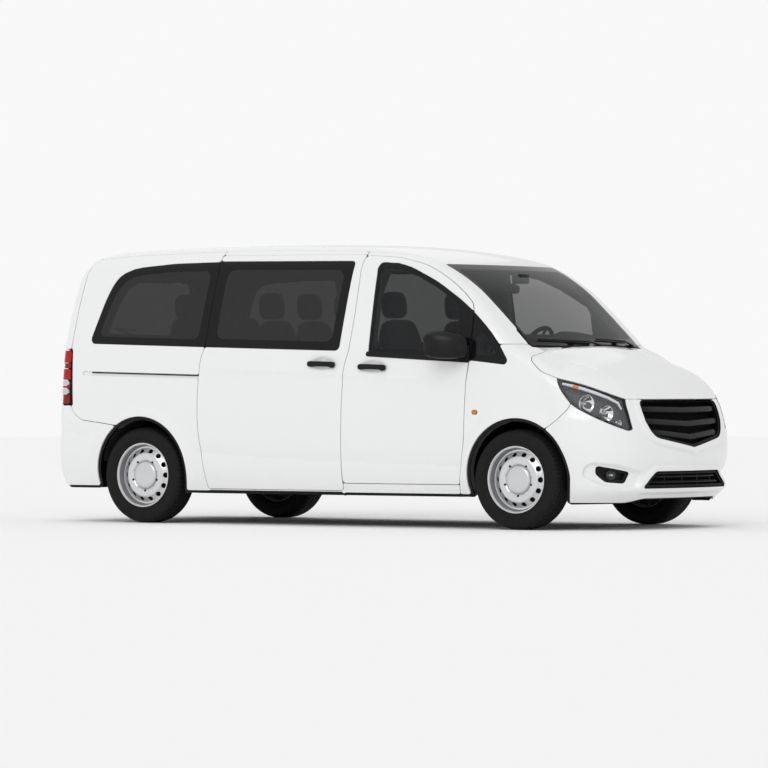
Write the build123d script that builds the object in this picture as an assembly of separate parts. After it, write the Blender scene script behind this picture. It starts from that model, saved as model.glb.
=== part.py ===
"""Minibus, in millimetres. +X is forward, +Y is the vehicle's left, +Z is up.
The origin is on the ground, at the middle of the overall length.
Each function below makes one sub-part, and NODES at the end names the file of each."""

import math
import os
from functools import cache

from build123d import *

# ---- driving dimensions ----------------------------------------------------------------
LENGTH = 4920.0
FRONT_OVERHANG = 907.5
WHEELBASE = 3200.0
HALF_WIDTH = 964.0  # at the waist, without mirrors
ROOF_Z = 1980.0
BELT_Z = 1262.0  # foot of the side glass
SILL_Z = 236.0
FLOOR_Z = 470.0  # top of the cabin floor
FLOOR_T = 30.0

TYRE_R = 343.0
TYRE_WIDTH = 212.0
RIM_R = 221.0
RIM_WIDTH = 190.0
FRONT_TRACK = 1666.0
REAR_TRACK = 1646.0
ARCH_R = 404.0
ARCH_Z = 357.0  # centre of the arches
ARCH_INNER_Y = 540.0  # inner wall of a front wheelhouse
TUB_INNER_Y = 640.0  # inner wall of a rear wheel tub
LINER = 8.0

WALL = 60.0  # whole thickness of a door or side wall
ROOF_WALL = 40.0
PANEL = 25.0  # thickness of the front end's panels with their inner frames
SKIN = 6.0  # outer flange of a door, and the glass
REBATE = 12.5  # depth of the body's flange behind a door's flange
FLANGE = 32.0  # how far a door's outer flange reaches past its inner body
INNER_GAP = 16.0  # between a door's inner body and the body's flange, for the swing
GAP = 6.0  # open line between panels that move
SEAT = 0.3  # clearance of a piece that is seated
BORDER = 70.0  # width of the glass's black border

STEER_Y = 770.0  # steering axis of a front wheel
STUB_R = 30.0
HUB_R = 78.0

NOSE_X = LENGTH / 2
TAIL_X = -LENGTH / 2
FRONT_AXLE_X = NOSE_X - FRONT_OVERHANG
REAR_AXLE_X = FRONT_AXLE_X - WHEELBASE
FIREWALL_X = FRONT_AXLE_X - 72.0
FIREWALL_T = 20.0
FIREWALL_Z = 1110.0  # top of the firewall
SIDES = (("right", -1), ("left", 1))

# ---- outlines of the panels, as (x, z) ---------------------------------------------------
B_LINE = [(111, 300), (104, 466), (128, 992), (133, 1089), (173, 1251), (194, 1668), (190, 1884)]
SLIDING_REAR = [(-1055, 1888), (-1041, 1835), (-1079, 1263), (-1110, 1191), (-1130, 982),
                (-1132, 692), (-1112, 530), (-1071, 256)]
DOOR_FRONT = [(1176, 1500), (1170, 1204), (1145, 960), (1129, 619), (1100, 437), (1076, 300)]
DOOR_TOP = [(477, 1873), (749, 1816), (1024, 1671), (1157, 1554)]
FRONT_DOOR = [*B_LINE, *DOOR_TOP, *DOOR_FRONT]
SLIDING_DOOR = [(109, 250), *B_LINE, *SLIDING_REAR, (-1070, 250)]

RAIL_GROOVE = [(-2205, 1080), (-1000, 1046), (-1000, 1024), (-2205, 1058)]
GROOVE_DEPTH = 14.0

QUARTER_GLASS = [(-2133, 1289), (-1000, 1258), (-1000, 1843), (-1453, 1836), (-1821, 1807),
                 (-1941, 1746), (-2016, 1632), (-2076, 1485)]
SLIDING_GLASS = [(-1200, 1263), (60, 1230), (97, 1823), (-1200, 1847)]
FRONT_GLASS = [(321, 1213), (1486, 1147), (1386, 1289), (1178, 1488), (1070, 1550), (847, 1672),
               (614, 1789), (488, 1814), (314, 1823)]

BONNET_REAR_X = 1640.0
BONNET = [(BONNET_REAR_X, 1500), (BONNET_REAR_X, 1160), (1752, 1079), (1892, 1041), (2238, 886),
          (2500, 868), (2500, 1500)]
FENDER = [*reversed(DOOR_FRONT[1:]), (1170, 1142), (1500, 1142), (1628, 1300), (1640, 1160),
          (1752, 1079), (1892, 1041), (2010, 860), (1890, 560), (1890, 100), (1060, 100)]
HEADLAMP = [(1898, 1032), (2232, 880), (2256, 800), (2306, 688), (2146, 774), (2022, 858)]
FASCIA = [(1890, 100), (1890, 560), (2010, 860), (2022, 858), (2146, 774), (2306, 688),
          (2256, 800), (2232, 884), (2500, 866), (2700, 866), (2700, 100)]
TAIL_JOINT = [(-2210, 2100), (-2235, 1866), (-2269, 1670), (-2295, 1400), (-2307, 1242)]
LAMP_FRONT = [(-2307, 1242), (-2288, 845)]
BUMPER_JOINT = [(-2288, 845), (-2277, 781), (-2214, 741), (-1800, 692)]

SCREEN_FOOT_X = 1585.0
PILLAR = 65.0  # width of the pillar between windscreen and door
PILLAR_HEAD_X = 840.0
PILLAR_FOOT_Z = 1430.0
TAIL_LAMP_Y = 800.0
TAILGATE_FOOT_Z = 640.0
ROOF_EDGE_Y = 690.0


# ---- small helpers ------------------------------------------------------------------------
def box(x0, x1, y0, y1, z0, z1):
    """A box from its lowest to its highest corner."""
    return Pos((x0 + x1) / 2, (y0 + y1) / 2, (z0 + z1) / 2) * Box(x1 - x0, y1 - y0, z1 - z0)


def both(x0, x1, y0, y1, z0, z1):
    """The same box on both sides."""
    return box(x0, x1, y0, y1, z0, z1) + box(x0, x1, -y1, -y0, z0, z1)


def prism(points, y0, y1, grow=0.0):
    """An outline of (x, z), grown all round, extruded across from y0 to y1."""
    face = make_face(Polyline(*points, close=True))
    if grow:
        face = offset(face, amount=grow, kind=Kind.INTERSECTION)
    return extrude(Plane((0, y1, 0), x_dir=(1, 0, 0), z_dir=(0, -1, 0)) * face, y1 - y0)


def side_prism(points, sign, grow=0.0, inner=ROOF_EDGE_Y + SEAT):
    """The same through the wall of one side."""
    return prism(points, *sorted((sign * inner, sign * 1200.0)), grow)


def lengthwise(points, x0, x1, grow=0.0):
    """An outline of (y, z), extruded from x0 to x1."""
    face = make_face(Polyline(*points, close=True))
    if grow:
        face = offset(face, amount=grow, kind=Kind.INTERSECTION)
    return extrude(Plane((x0, 0, 0), x_dir=(0, 1, 0), z_dir=(1, 0, 0)) * face, x1 - x0)


def axle(x, y0, y1, z, radius):
    """A round bar across."""
    low, high = sorted((y0, y1))
    return Pos(x, (low + high) / 2, z) * Rot(90, 0, 0) * Cylinder(radius, high - low)


def bar(a, b, radius):
    """A round bar between two points."""
    a, b = Vector(*a), Vector(*b)
    return extrude(Plane(a, z_dir=b - a) * Circle(radius), (b - a).length)


def mirrored(shape):
    """The shape's mirror image on the other side."""
    return mirror(shape, Plane.XZ)


def pieces(*shapes):
    """Separate solids that share a node."""
    return Compound(children=[solid for shape in shapes for solid in shape.solids()])


# ---- outer form ---------------------------------------------------------------------------
# x and by how much the half width is less there
WIDTH_SECTIONS = ((-2600.0, 46.0), (-350.0, 0.0), (2600.0, 96.0))
# z, front x and rear x of the lower body
PLAN_SECTIONS = (
    (150.0, NOSE_X - 70, TAIL_X + 70),
    (470.0, NOSE_X, TAIL_X),
    (900.0, NOSE_X - 112, TAIL_X + 24),
    (1330.0, NOSE_X - 300, TAIL_X + 40),
)
FRONT_R = 1640.0
CORNER_Y = 457.0
OUTSIDE_Y = 1000.0
UPPER_FOOT_Z = 1240.0


def side_form(inset):
    """The sides: tucked-in sill, waist, leaning glass and roof shoulder, narrower to the ends."""
    wires = []
    for x, less in WIDTH_SECTIONS:
        w = HALF_WIDTH - less - inset
        arcs = (
            ((w - 86, SILL_Z - 120), (w - 16, 500), (w, 800)),
            ((w, 800), (w - 4, 1010), (w - 22, BELT_Z - 40)),
            ((w - 22, BELT_Z - 40), (w - 84, 1540), (w - 140, 1775)),
            ((w - 140, 1775), (w - 218, 1905), (w - 364, ROOF_Z + 5)),
        )
        right = [ThreePointArc(*[(x, -y, z) for y, z in arc]) for arc in arcs]
        left = [ThreePointArc(*[(x, y, z) for y, z in arc]) for arc in arcs]
        top = Line((x, 364 - w, ROOF_Z + 5), (x, w - 364, ROOF_Z + 5))
        foot = Line((x, 86 - w, SILL_Z - 120), (x, w - 86, SILL_Z - 120))
        wires.append(Wire([*right, top, *left, foot]))
    return Solid.make_loft(wires)


def plan_form(inset):
    """The ends of the lower body: bowed nose with round corners, and the tail."""
    wires = []
    for z, x_front, x_rear in PLAN_SECTIONS:
        front = x_front - inset
        rear = x_rear + inset
        brow = front - CORNER_Y**2 / (2 * FRONT_R)

        def at(x, y):
            return (x, y, z)

        half = (
            ((front, 0.0), (brow, CORNER_Y)),
            ((brow, CORNER_Y), (brow - 175 - 0.2 * inset, 740 - 0.7 * inset),
             (brow - 560 - inset, 965 - inset)),
            ((brow - 560 - inset, 965 - inset), (brow - 860, OUTSIDE_Y)),
            ((brow - 860, OUTSIDE_Y), (rear + 290, OUTSIDE_Y)),
            ((rear + 290, OUTSIDE_Y), (rear + 190, 955 - inset)),
            ((rear + 190, 955 - inset), (rear + 95, 890 - inset), (rear + 60, 820 - inset)),
        )
        edges = [ThreePointArc(at(brow, -CORNER_Y), at(front, 0), at(brow, CORNER_Y))]
        back = []
        for points in half[1:]:
            kind = Line if len(points) == 2 else ThreePointArc
            edges.append(kind(*[at(x, y) for x, y in points]))
            back.insert(0, kind(*[at(x, -y) for x, y in reversed(points)]))
        tail = ThreePointArc(at(rear + 60, 820 - inset), at(rear, 0), at(rear + 60, inset - 820))
        wires.append(Wire([*edges, tail, *back]))
    return Solid.make_loft(wires)


def crowned(middle, edge):
    """A closed outline of (x, z) at the middle, and the lower one at both sides, lofted."""
    wires = []
    for y, runs in ((-1000.0, edge), (0.0, middle), (1000.0, edge)):
        edges = []
        for points in runs:
            kind = Line if len(points) == 2 else ThreePointArc
            edges.append(kind(*[(x, y, z) for x, z in points]))
        wires.append(Wire(edges))
    return Solid.make_loft(wires)


def bonnet_form(inset):
    """Below the bonnet's surface, and below the belt behind it."""

    def section(drop):
        lift = -drop - inset
        a, b, c, d, e = (1440, 1302 + lift), (1830, 1212 + lift), (2196 - 0.4 * inset, 1052 + lift), \
            (2290 - 0.7 * inset, 972 + lift), (2352 - inset, 884 + lift)
        return ((a, b, c), (c, d, e), (e, (2600, 800 + lift)), ((2600, 800 + lift), (2600, 50)),
                ((2600, 50), (1440, 50)), ((1440, 50), a))

    return crowned(section(0), section(80)) + box(-2600, 1440.01, -1000, 1000, 50, BELT_Z + 38)


def upper_form(inset, roof_inset):
    """The glasshouse: windscreen, roof and the upper tail."""

    def section(drop, bow, tail):
        x0, x1 = 1600 - bow - inset * 1.3, 905 - 0.5 * bow - inset * 1.3
        foot, rear = UPPER_FOOT_Z, TAIL_X + inset + tail
        z = ROOF_Z - drop - roof_inset
        screen_foot, screen_top = (x0, foot), (x1, z - 154)
        return (
            (screen_foot, screen_top),
            (screen_top, (620, z - 78), (250, z - 26)),
            ((250, z - 26), (-700, z), (-1815, z - 14)),
            ((-1815, z - 14), (-2100, z - 25), (rear + 190, z - 50)),
            ((rear + 190, z - 50), (rear + 130, z - 140), (rear + 96, z - 330)),
            ((rear + 96, z - 330), (rear + 60, z - 560), (rear + 42, foot)),
            ((rear + 42, foot), screen_foot),
        )

    return crowned(section(0, 0, 0), section(62, 210, 70))


@cache
def form(inset, roof_inset=None):
    """The closed outer form of the body, or the same with every wall moved in."""
    lower = plan_form(inset) & bonnet_form(inset)
    upper = upper_form(inset, inset if roof_inset is None else roof_inset)
    return (lower + upper) & side_form(inset)


@cache
def wall():
    """The cabin's whole wall."""
    return form(0) - form(WALL, ROOF_WALL)


@cache
def panel():
    """The thinner wall of the front end."""
    return form(0) - form(PANEL)


@cache
def layer():
    """The outermost layer, of glass and flanges."""
    return form(0) - form(SKIN)


def below_skin(tool):
    """A cutting tool that reaches only to the glass's seat."""
    return tool - form(SKIN + SEAT)


@cache
def arches():
    """The four round arch openings, through the side walls."""
    tool = axle(FRONT_AXLE_X, ARCH_INNER_Y, 1200, ARCH_Z, ARCH_R)
    tool += axle(REAR_AXLE_X, TUB_INNER_Y, 1200, ARCH_Z, ARCH_R)
    return tool + mirrored(tool)


def clear(points, sign):
    """The see-through part of a pane, inside its border."""
    return side_prism(points, sign, -BORDER)


# ---- body ---------------------------------------------------------------------------------
def screen_pillars(grow=0.0):
    """The place of the windscreen and of the pillars beside it, which no door reaches."""
    return lengthwise(screen_points(PILLAR + grow), 0, 1700)


def door_opening(points, sign):
    """What a door's outline takes out of the side: a rebate, and a smaller opening.
    Beside the pillar there is no flange, because the front door swings back over it."""
    whole = side_prism(points, sign, GAP / 2)
    hole = side_prism(points, sign, INNER_GAP - FLANGE)
    beside_pillar = whole & box(PILLAR_HEAD_X, 1300, -1200, 1200, PILLAR_FOOT_Z, 1800)
    return ((whole - form(REBATE)) + hole + beside_pillar) - screen_pillars()


def stepped(points, sign):
    """A door's body: an outer flange over a narrower inner body."""
    inner = wall() & side_prism(points, sign, -FLANGE)
    outer = layer() & side_prism(points, sign, -GAP / 2)
    return (outer + inner) - screen_pillars(GAP)


def rear_zone(grow=0.0):
    """Behind the tail's joint: tailgate, tail lamps and rear bumper."""
    points = [*TAIL_JOINT, *LAMP_FRONT[1:], *BUMPER_JOINT[1:], (-1800, 0), (-2700, 0), (-2700, 2100)]
    return prism(points, -1200, 1200, grow)


def tailgate_foot(grow=0.0):
    """The tailgate's place between the tail lamps and over the bumper."""
    y = TAIL_LAMP_Y - GAP / 2 + grow
    return box(-2700, -2250, -y, y, TAILGATE_FOOT_Z - grow, 1300)


def side_frame(sign):
    """Pillars, sill, cant rail, hinge post and quarter panel of one side."""
    near, far = sorted((sign * 300.0, sign * 1200.0))
    half = box(-2500, 1628, near, far, SILL_Z, 2100)
    roof_cut = box(-2700, 2000, -ROOF_EDGE_Y - SEAT, ROOF_EDGE_Y + SEAT, 1700, 2200)
    frame = (wall() & half) - roof_cut - rear_zone(SEAT)
    frame -= box(FIREWALL_X, 1700, -1200, 1200, 0, 1142) + side_prism(FENDER, sign, SEAT)
    frame -= screen_tool(SEAT) + cowl_zone(SEAT)
    post = (form(PANEL + SEAT) - form(WALL)) & side_prism(FRONT_DOOR, sign, 45) & half
    post &= box(1000, FIREWALL_X, -1200, 1200, SILL_Z, 1200)
    frame += post
    frame -= door_opening(FRONT_DOOR, sign) + door_opening(SLIDING_DOOR, sign)
    frame -= arches() + tailgate_foot(GAP)
    frame -= below_skin(side_prism(QUARTER_GLASS, sign, SEAT)) + clear(quarter_clear(), sign)
    frame -= below_skin(side_prism(FRONT_GLASS, sign, SEAT) & box(1100, 1700, -1200, 1200, 0, 2000))
    frame -= side_prism(QUARTER_LIGHT_HOLE, sign)
    frame -= side_prism(RAIL_GROOVE, sign) - form(GROOVE_DEPTH)
    return largest(frame)


QUARTER_LIGHT_HOLE = [(1225, 1195), (1375, 1190), (1225, 1385)]


def quarter_clear():
    """The quarter glass's outline, ended at the sliding door."""
    return [(-1150 if x == -1000 else x, z) for x, z in QUARTER_GLASS]


def largest(shape):
    """The main solid of a cut, without its offcuts."""
    return max(shape.solids(), key=lambda s: s.volume)


def screen_points(grow=0.0):
    """The windscreen's outline from ahead, as (y, z)."""
    return [(-742 - grow, 1262 - grow), (742 + grow, 1262 - grow), (660 + grow, 1822 + grow),
            (-660 - grow, 1822 + grow)]


def screen_tool(grow=0.0, border=0.0):
    """A cutter along X through the windscreen's opening."""
    return lengthwise(screen_points(grow - border), 700, SCREEN_FOOT_X)


def cowl_zone(grow=0.0):
    """The cowl's place, between windscreen and bonnet."""
    front = BONNET_REAR_X - GAP
    return box(1445 - grow, front + grow, -790 - grow, 790 + grow, 1120 - grow, BELT_Z + 60 - grow)


def roof():
    """The roof panel with the windscreen's header."""
    zone = box(-2400, 1000, -ROOF_EDGE_Y, ROOF_EDGE_Y, 1700, 2100)
    rear = prism(TAIL_JOINT + [(-2700, 1242), (-2700, 2100)], -1200, 1200, GAP / 2)
    whole = (wall() & zone) - screen_tool(SEAT) - rear
    return largest(whole)


def floor():
    """Floor pan with the firewall and the rear wheel tubs."""
    inner = form(WALL + SEAT, ROOF_WALL + SEAT)
    pan = inner & box(-2330, FIREWALL_X, -1000, 1000, FLOOR_Z - FLOOR_T, FLOOR_Z)
    face, low = FIREWALL_X - FIREWALL_T, FLOOR_Z - FLOOR_T
    pan += inner & box(face, FIREWALL_X, 20 - ARCH_INNER_Y, ARCH_INNER_Y - 20, low, FIREWALL_Z)
    pan += inner & box(face, FIREWALL_X, -860, 860, ARCH_Z + ARCH_R + 20, FIREWALL_Z)
    tub = axle(REAR_AXLE_X, TUB_INNER_Y - LINER, 870, ARCH_Z, ARCH_R + LINER)
    tub = tub & box(-2400, 0, 0, 870, FLOOR_Z - FLOOR_T, 2000)
    tubs = (tub + mirrored(tub)) & inner
    pan = pan + tubs - arches()
    front = both(FRONT_AXLE_X - ARCH_R - LINER - 2, 2000, ARCH_INNER_Y - 18, 1000, 0, ARCH_Z + ARCH_R + 18)
    return largest(pan - front)


def cowl():
    """The panel between windscreen and bonnet that carries the wipers."""
    return largest((panel() & cowl_zone()) - screen_tool(SEAT))


def fender(sign):
    """A front fender with its wheelhouse liner."""
    near, far = sorted((sign * 300.0, sign * 1200.0))
    side = box(900, 2400, near, far, SILL_Z, 1400)
    skin = panel() & side_prism(FENDER, sign) & side
    skin -= cowl_zone(SEAT) + prism(BONNET, -1200, 1200, GAP) + side_prism(FRONT_DOOR, sign, GAP / 2)
    skin -= screen_tool(SEAT) + side_prism(HEADLAMP, sign, SEAT) + fascia_zone()
    inner_y, outer_y = ARCH_INNER_Y - LINER, 880.0
    liner = axle(FRONT_AXLE_X, sign * inner_y, sign * outer_y, ARCH_Z, ARCH_R + LINER)
    liner -= axle(FRONT_AXLE_X, sign * ARCH_INNER_Y, sign * 1000, ARCH_Z, ARCH_R)
    liner &= box(900, 2400, near, far, SILL_Z + 150, 1400) & form(PANEL + SEAT)
    ring = axle(FRONT_AXLE_X, sign * (outer_y - 10), sign * 960, ARCH_Z, ARCH_R + 22)
    ring &= form(2) & box(900, 1900, near, far, SILL_Z, 1400) & side_prism(FENDER, sign, -1)
    ring -= side_prism(FRONT_DOOR, sign, 50)
    return largest(skin + liner + ring - arches())


def fascia_zone(grow=0.0):
    return prism(FASCIA, -1200, 1200, grow)


GRILLE = [(-450, 864), (450, 864), (436, 740), (300, 612), (0, 566), (-300, 612), (-436, 740)]
LOWER_GRILLE = [(-470, 405), (470, 405), (520, 298), (-520, 298)]
FOG_LAMP = [(585, 440), (735, 452), (720, 346), (585, 336)]


def grille_tool(points, grow=0.0):
    return lengthwise(points, 2050, 2700, grow)


def fog_tool(grow=0.0):
    tool = lengthwise(FOG_LAMP, 1950, 2500, grow)
    return tool + mirrored(tool)


def front_bumper():
    """The front fascia."""
    skin = panel() & fascia_zone(-SEAT) & box(1800, 2600, -1100, 1100, 205, 1000)
    skin -= prism(BONNET, -1200, 1200, GAP) + arches()
    skin -= grille_tool(GRILLE, SEAT) + grille_tool(LOWER_GRILLE, SEAT) + fog_tool(SEAT)
    return largest(skin)


def slatted(points, count, depth):
    """A grille: a frame with slats across."""
    solid = (form(0) - form(depth)) & grille_tool(points)
    hole = grille_tool(points, -22)
    low = min(z for _, z in points) + 22
    high = max(z for _, z in points) - 22
    pitch = (high - low) / (count + 1)
    for i in range(count):
        z = low + pitch * (i + 1)
        hole -= box(2000, 2700, -600, 600, z - 0.2 * pitch, z + 0.2 * pitch)
    return solid - hole


def grilles():
    """Upper and lower grille."""
    return pieces(slatted(GRILLE, 4, 22), slatted(LOWER_GRILLE, 2, 22))


def front_lamps():
    """Headlamps and fog lamps."""
    shell = form(0) - form(PANEL)
    head = shell & prism(HEADLAMP, 300, 1200, -SEAT)
    head = largest(head)
    fog = shell & lengthwise(FOG_LAMP, 1950, 2500)
    return pieces(head, mirrored(head), largest(fog), mirrored(largest(fog)))


def bonnet():
    """The engine lid."""
    hinges = both(BONNET_REAR_X - GAP + SEAT, BONNET_REAR_X + 10, 690, 750, 1165, 1400)
    lid = panel() & (prism(BONNET, -1200, 1200) + hinges)
    return largest(lid)


def tail_lamp_zone(grow=0.0):
    zone = prism([*LAMP_FRONT, (-2700, 845), (-2700, 1242)], TAIL_LAMP_Y, 1200, grow)
    return zone + mirrored(zone)


def tail_lamps():
    shell = form(0) - form(45)
    lamps = shell & tail_lamp_zone(-SEAT)
    return pieces(lamps)


def rear_bumper():
    """The rear bumper with its corners up to the lamps."""
    zone = rear_zone(-SEAT) & box(-2700, -1700, -1100, 1100, 262, 845)
    shell = (form(0) - form(PANEL)) & zone
    shell -= tailgate_foot(GAP) + tail_lamp_zone(SEAT) + arches()
    return largest(shell)


REAR_GLASS = [(-640, 1330), (640, 1330), (600, 1790), (-600, 1790)]


def tailgate():
    """The tail door, hinged at the roof."""
    upper = prism([*TAIL_JOINT, (-2700, 1242), (-2700, 2100)], -1200, 1200, -GAP / 2)
    hinges = prism([*TAIL_JOINT, (-2700, 1242), (-2700, 2100)], -1200, 1200, GAP / 2 - SEAT)
    hinges &= both(-2300, -2150, 400, 460, 1850, 2100)
    gate = wall() & (upper + tailgate_foot() + hinges)
    tool = lengthwise(REAR_GLASS, -2700, -2000, SEAT)
    gate -= tool - form(SKIN + SEAT)
    gate -= lengthwise(REAR_GLASS, -2700, -2000, -BORDER)
    return largest(gate)


def tailgate_glass():
    return layer() & lengthwise(REAR_GLASS, -2700, -2000)


def windscreen():
    return largest(layer() & lengthwise(screen_points(), 800, SCREEN_FOOT_X - SEAT))


HANDLE_LENGTH = 226.0
HANDLE_HEIGHT = 34.0
HANDLE_REACH = 34.0  # from the door's skin to the outside of the grip
GRIP = 16.0  # thickness of the grip


def handle(x, y, z, sign):
    """A pull handle: a grip along X on two feet, over the door's skin at y."""
    low, high = z - HANDLE_HEIGHT / 2, z + HANDLE_HEIGHT / 2
    outer = y + HANDLE_REACH
    grip = fillet(box(x, x + HANDLE_LENGTH, outer - GRIP, outer, low, high).edges(), 6)
    for foot in (x + 14, x + HANDLE_LENGTH - 44):
        grip += box(foot, foot + 30, y - 30, outer - GRIP / 2, low + 5, high - 5)
    return grip if sign > 0 else mirrored(grip)


def front_door(sign):
    door = stepped(FRONT_DOOR, sign)
    leaf = side_prism(FRONT_DOOR, sign, INNER_GAP - FLANGE - SEAT)
    leaf &= box(1060, 1200, -1000, 1000, 560, 620) + box(1060, 1200, -1000, 1000, 900, 960)
    door += leaf & (form(PANEL) - form(WALL))
    door -= below_skin(side_prism(FRONT_GLASS, sign, SEAT) & box(0, 1166, -1200, 1200, 0, 2000))
    return largest(door - side_prism(front_hole(), sign) + handle(240, 944, 1113, sign))


def front_hole():
    """The clear part of the front door's glass."""
    return [(366, 1262), (1045, 1222), (1045, 1520), (820, 1630), (600, 1738), (480, 1764), (360, 1774)]


def front_door_glass(sign):
    glass = layer() & side_prism(FRONT_GLASS, sign) & box(0, 1165, -1200, 1200, 0, 2000)
    return largest(glass)


def sliding_door(sign):
    door = stepped(SLIDING_DOOR, sign)
    door -= below_skin(side_prism(SLIDING_GLASS, sign, SEAT)) + side_prism(sliding_hole(), sign)
    return largest(door + handle(-190, 948, 1133, sign))


def sliding_hole():
    return [(-985, 1335), (-15, 1310), (20, 1750), (-950, 1768)]


def side_glass():
    """Fixed panes: quarter windows, quarter lights and the sliding doors' glass."""
    found = []
    for _, sign in SIDES:
        quarter = layer() & side_prism(QUARTER_GLASS, sign)
        found.append(largest(quarter - side_prism(SLIDING_DOOR, sign, GAP)))
        sliding = layer() & side_prism(SLIDING_GLASS, sign) & side_prism(SLIDING_DOOR, sign, -GAP / 2)
        found.append(largest(sliding))
        light = layer() & side_prism(FRONT_GLASS, sign) & box(1182, 1700, -1200, 1200, 0, 2000)
        found.append(largest(light))
    return pieces(*found)


def mirror_housing(sign):
    """An outside mirror on its stem."""
    outline = Polyline((1186, 975), (1186, 1040), (1150, 1090), (1030, 1122), (940, 1122), (925, 1085),
                       (1090, 975), close=True)
    head = extrude(Pos(0, 0, 1178) * make_face(outline), 182)
    head = fillet(head.edges(), 20)
    stem = box(1070, 1155, 890, 1010, 1195, 1238)
    mirror_piece = head + (stem - form(-SEAT))
    return mirror_piece if sign > 0 else mirrored(mirror_piece)


# ---- wheels and running gear ----------------------------------------------------------------
def tyre(x, track, sign):
    """A tyre with rounded shoulders, hollow to the rim."""
    w, r0, r1 = TYRE_WIDTH / 2, RIM_R + SEAT, TYRE_R
    outline = Polyline((r0, -80), (r0 + 30, -w + 4), (r1 - 52, -w), (r1 - 16, -w + 18), (r1, -w + 42),
                       (r1, w - 42), (r1 - 16, w - 18), (r1 - 52, w), (r0 + 30, w - 4), (r0, 80), close=True)
    ring = revolve(Plane.XY * make_face(outline), Axis.Y)
    return Pos(x, sign * track / 2, TYRE_R) * ring


VENTS = 14


def rim(x, track, sign):
    """A steel rim with a vented disc and a domed centre cap."""
    half, bore = RIM_WIDTH / 2, STUB_R + SEAT
    barrel = Polyline((RIM_R, -half + 12), (RIM_R, half - 12), (RIM_R + 9, half - 6), (RIM_R + 9, half),
                      (RIM_R - 4, half), (RIM_R - 16, half - 20), (RIM_R - 16, 20 - half),
                      (RIM_R - 4, -half), (RIM_R, -half), close=True)
    wheel = revolve(Plane.XY * make_face(barrel), Axis.Y)
    disc = Polyline((bore, 10), (HUB_R, 10), (120, 52), (150, 54), (RIM_R - 14, 14), (RIM_R - 14, 26),
                    (152, 64), (118, 62), (HUB_R, 22), (bore, 22), close=True)
    plate = revolve(Plane.XY * make_face(disc), Axis.Y)
    for i in range(VENTS):
        turn = 360 * i / VENTS
        plate -= Rot(0, turn, 0) * Pos(172, 40, 0) * Rot(90, 0, 0) * Cylinder(13, 80)
    cap = Polyline((60, 22), (86, 22), (84, 50), (60, 66), (0, 74), (0, 66), (58, 58), (76, 46), (76, 22),
                   close=True)
    wheel = wheel + plate + revolve(Plane.XY * make_face(cap), Axis.Y)
    if sign < 0:
        wheel = mirrored(wheel)
    return Pos(x, sign * track / 2, TYRE_R) * wheel


def knuckle(sign):
    """A front knuckle: upright on the steering axis, with the wheel's stub."""
    upright = Pos(FRONT_AXLE_X, STEER_Y, TYRE_R) * Cylinder(26, 250)
    flange = axle(FRONT_AXLE_X, STEER_Y, FRONT_TRACK / 2 + 10 - SEAT, TYRE_R, 60)
    stub = axle(FRONT_AXLE_X, STEER_Y, FRONT_TRACK / 2 + 60, TYRE_R, STUB_R)
    arm = bar((FRONT_AXLE_X, STEER_Y, TYRE_R - 60), (FRONT_AXLE_X - 130, STEER_Y - 20, TYRE_R - 60), 14)
    whole = upright + flange + stub + arm
    return whole if sign > 0 else mirrored(whole)


RAIL_Y = 430.0
BEAM_H = 110.0  # depth of the rails and of the rear arms' brackets


def front_subframe():
    """Front rails, crossmember, lower arms and struts."""
    low, high = TYRE_R - 125 - SEAT, TYRE_R + 125 + SEAT
    beam_top = FLOOR_Z - FLOOR_T - SEAT
    half = box(FIREWALL_X - 420, 2280, RAIL_Y - 45, RAIL_Y + 45, beam_top - BEAM_H, beam_top)
    half += box(FRONT_AXLE_X - 90, FRONT_AXLE_X + 90, 0, RAIL_Y + 40, 230, 300)
    half += box(FRONT_AXLE_X - 60, FRONT_AXLE_X + 60, RAIL_Y - 40, RAIL_Y + 40, 230, FLOOR_Z - FLOOR_T - 60)
    for side in (-1, 1):
        half += bar((FRONT_AXLE_X + side * 80, RAIL_Y, low - 2), (FRONT_AXLE_X, STEER_Y, low - 18), 16)
    half += Pos(FRONT_AXLE_X, STEER_Y, low - 18) * Cylinder(30, 36)
    top = ARCH_Z + ARCH_R
    strut = bar((FRONT_AXLE_X, STEER_Y, high + 18), (FRONT_AXLE_X, 620, high + 30), 16)
    strut += Pos(FRONT_AXLE_X, STEER_Y, high + 18) * Cylinder(30, 36)
    strut += Pos(FRONT_AXLE_X, 620, (high + top) / 2) * Cylinder(26, top - high)
    strut &= axle(FRONT_AXLE_X, 500, 900, ARCH_Z, ARCH_R - SEAT)
    return pieces(half + mirrored(half), strut, mirrored(strut))


def rear_axle():
    """Rear crossbeam, trailing arms and stubs."""
    half = axle(REAR_AXLE_X, -1, REAR_TRACK / 2 + 60, TYRE_R, STUB_R)
    half += axle(REAR_AXLE_X, -1, REAR_TRACK / 2 - 100, TYRE_R, 45)
    half += axle(REAR_AXLE_X, REAR_TRACK / 2 - 60, REAR_TRACK / 2 + 10 - SEAT, TYRE_R, 60)
    half += bar((REAR_AXLE_X, 520, TYRE_R), (REAR_AXLE_X + 560, 520, FLOOR_Z - FLOOR_T - 62), 34)
    beam_top = FLOOR_Z - FLOOR_T - SEAT
    half += box(REAR_AXLE_X + 480, REAR_AXLE_X + 640, 470, 570, beam_top - BEAM_H, beam_top)
    half += bar((REAR_AXLE_X - 40, 420, TYRE_R), (REAR_AXLE_X - 40, 420, FLOOR_Z - FLOOR_T - SEAT), 40)
    return half + mirrored(half)


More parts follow.
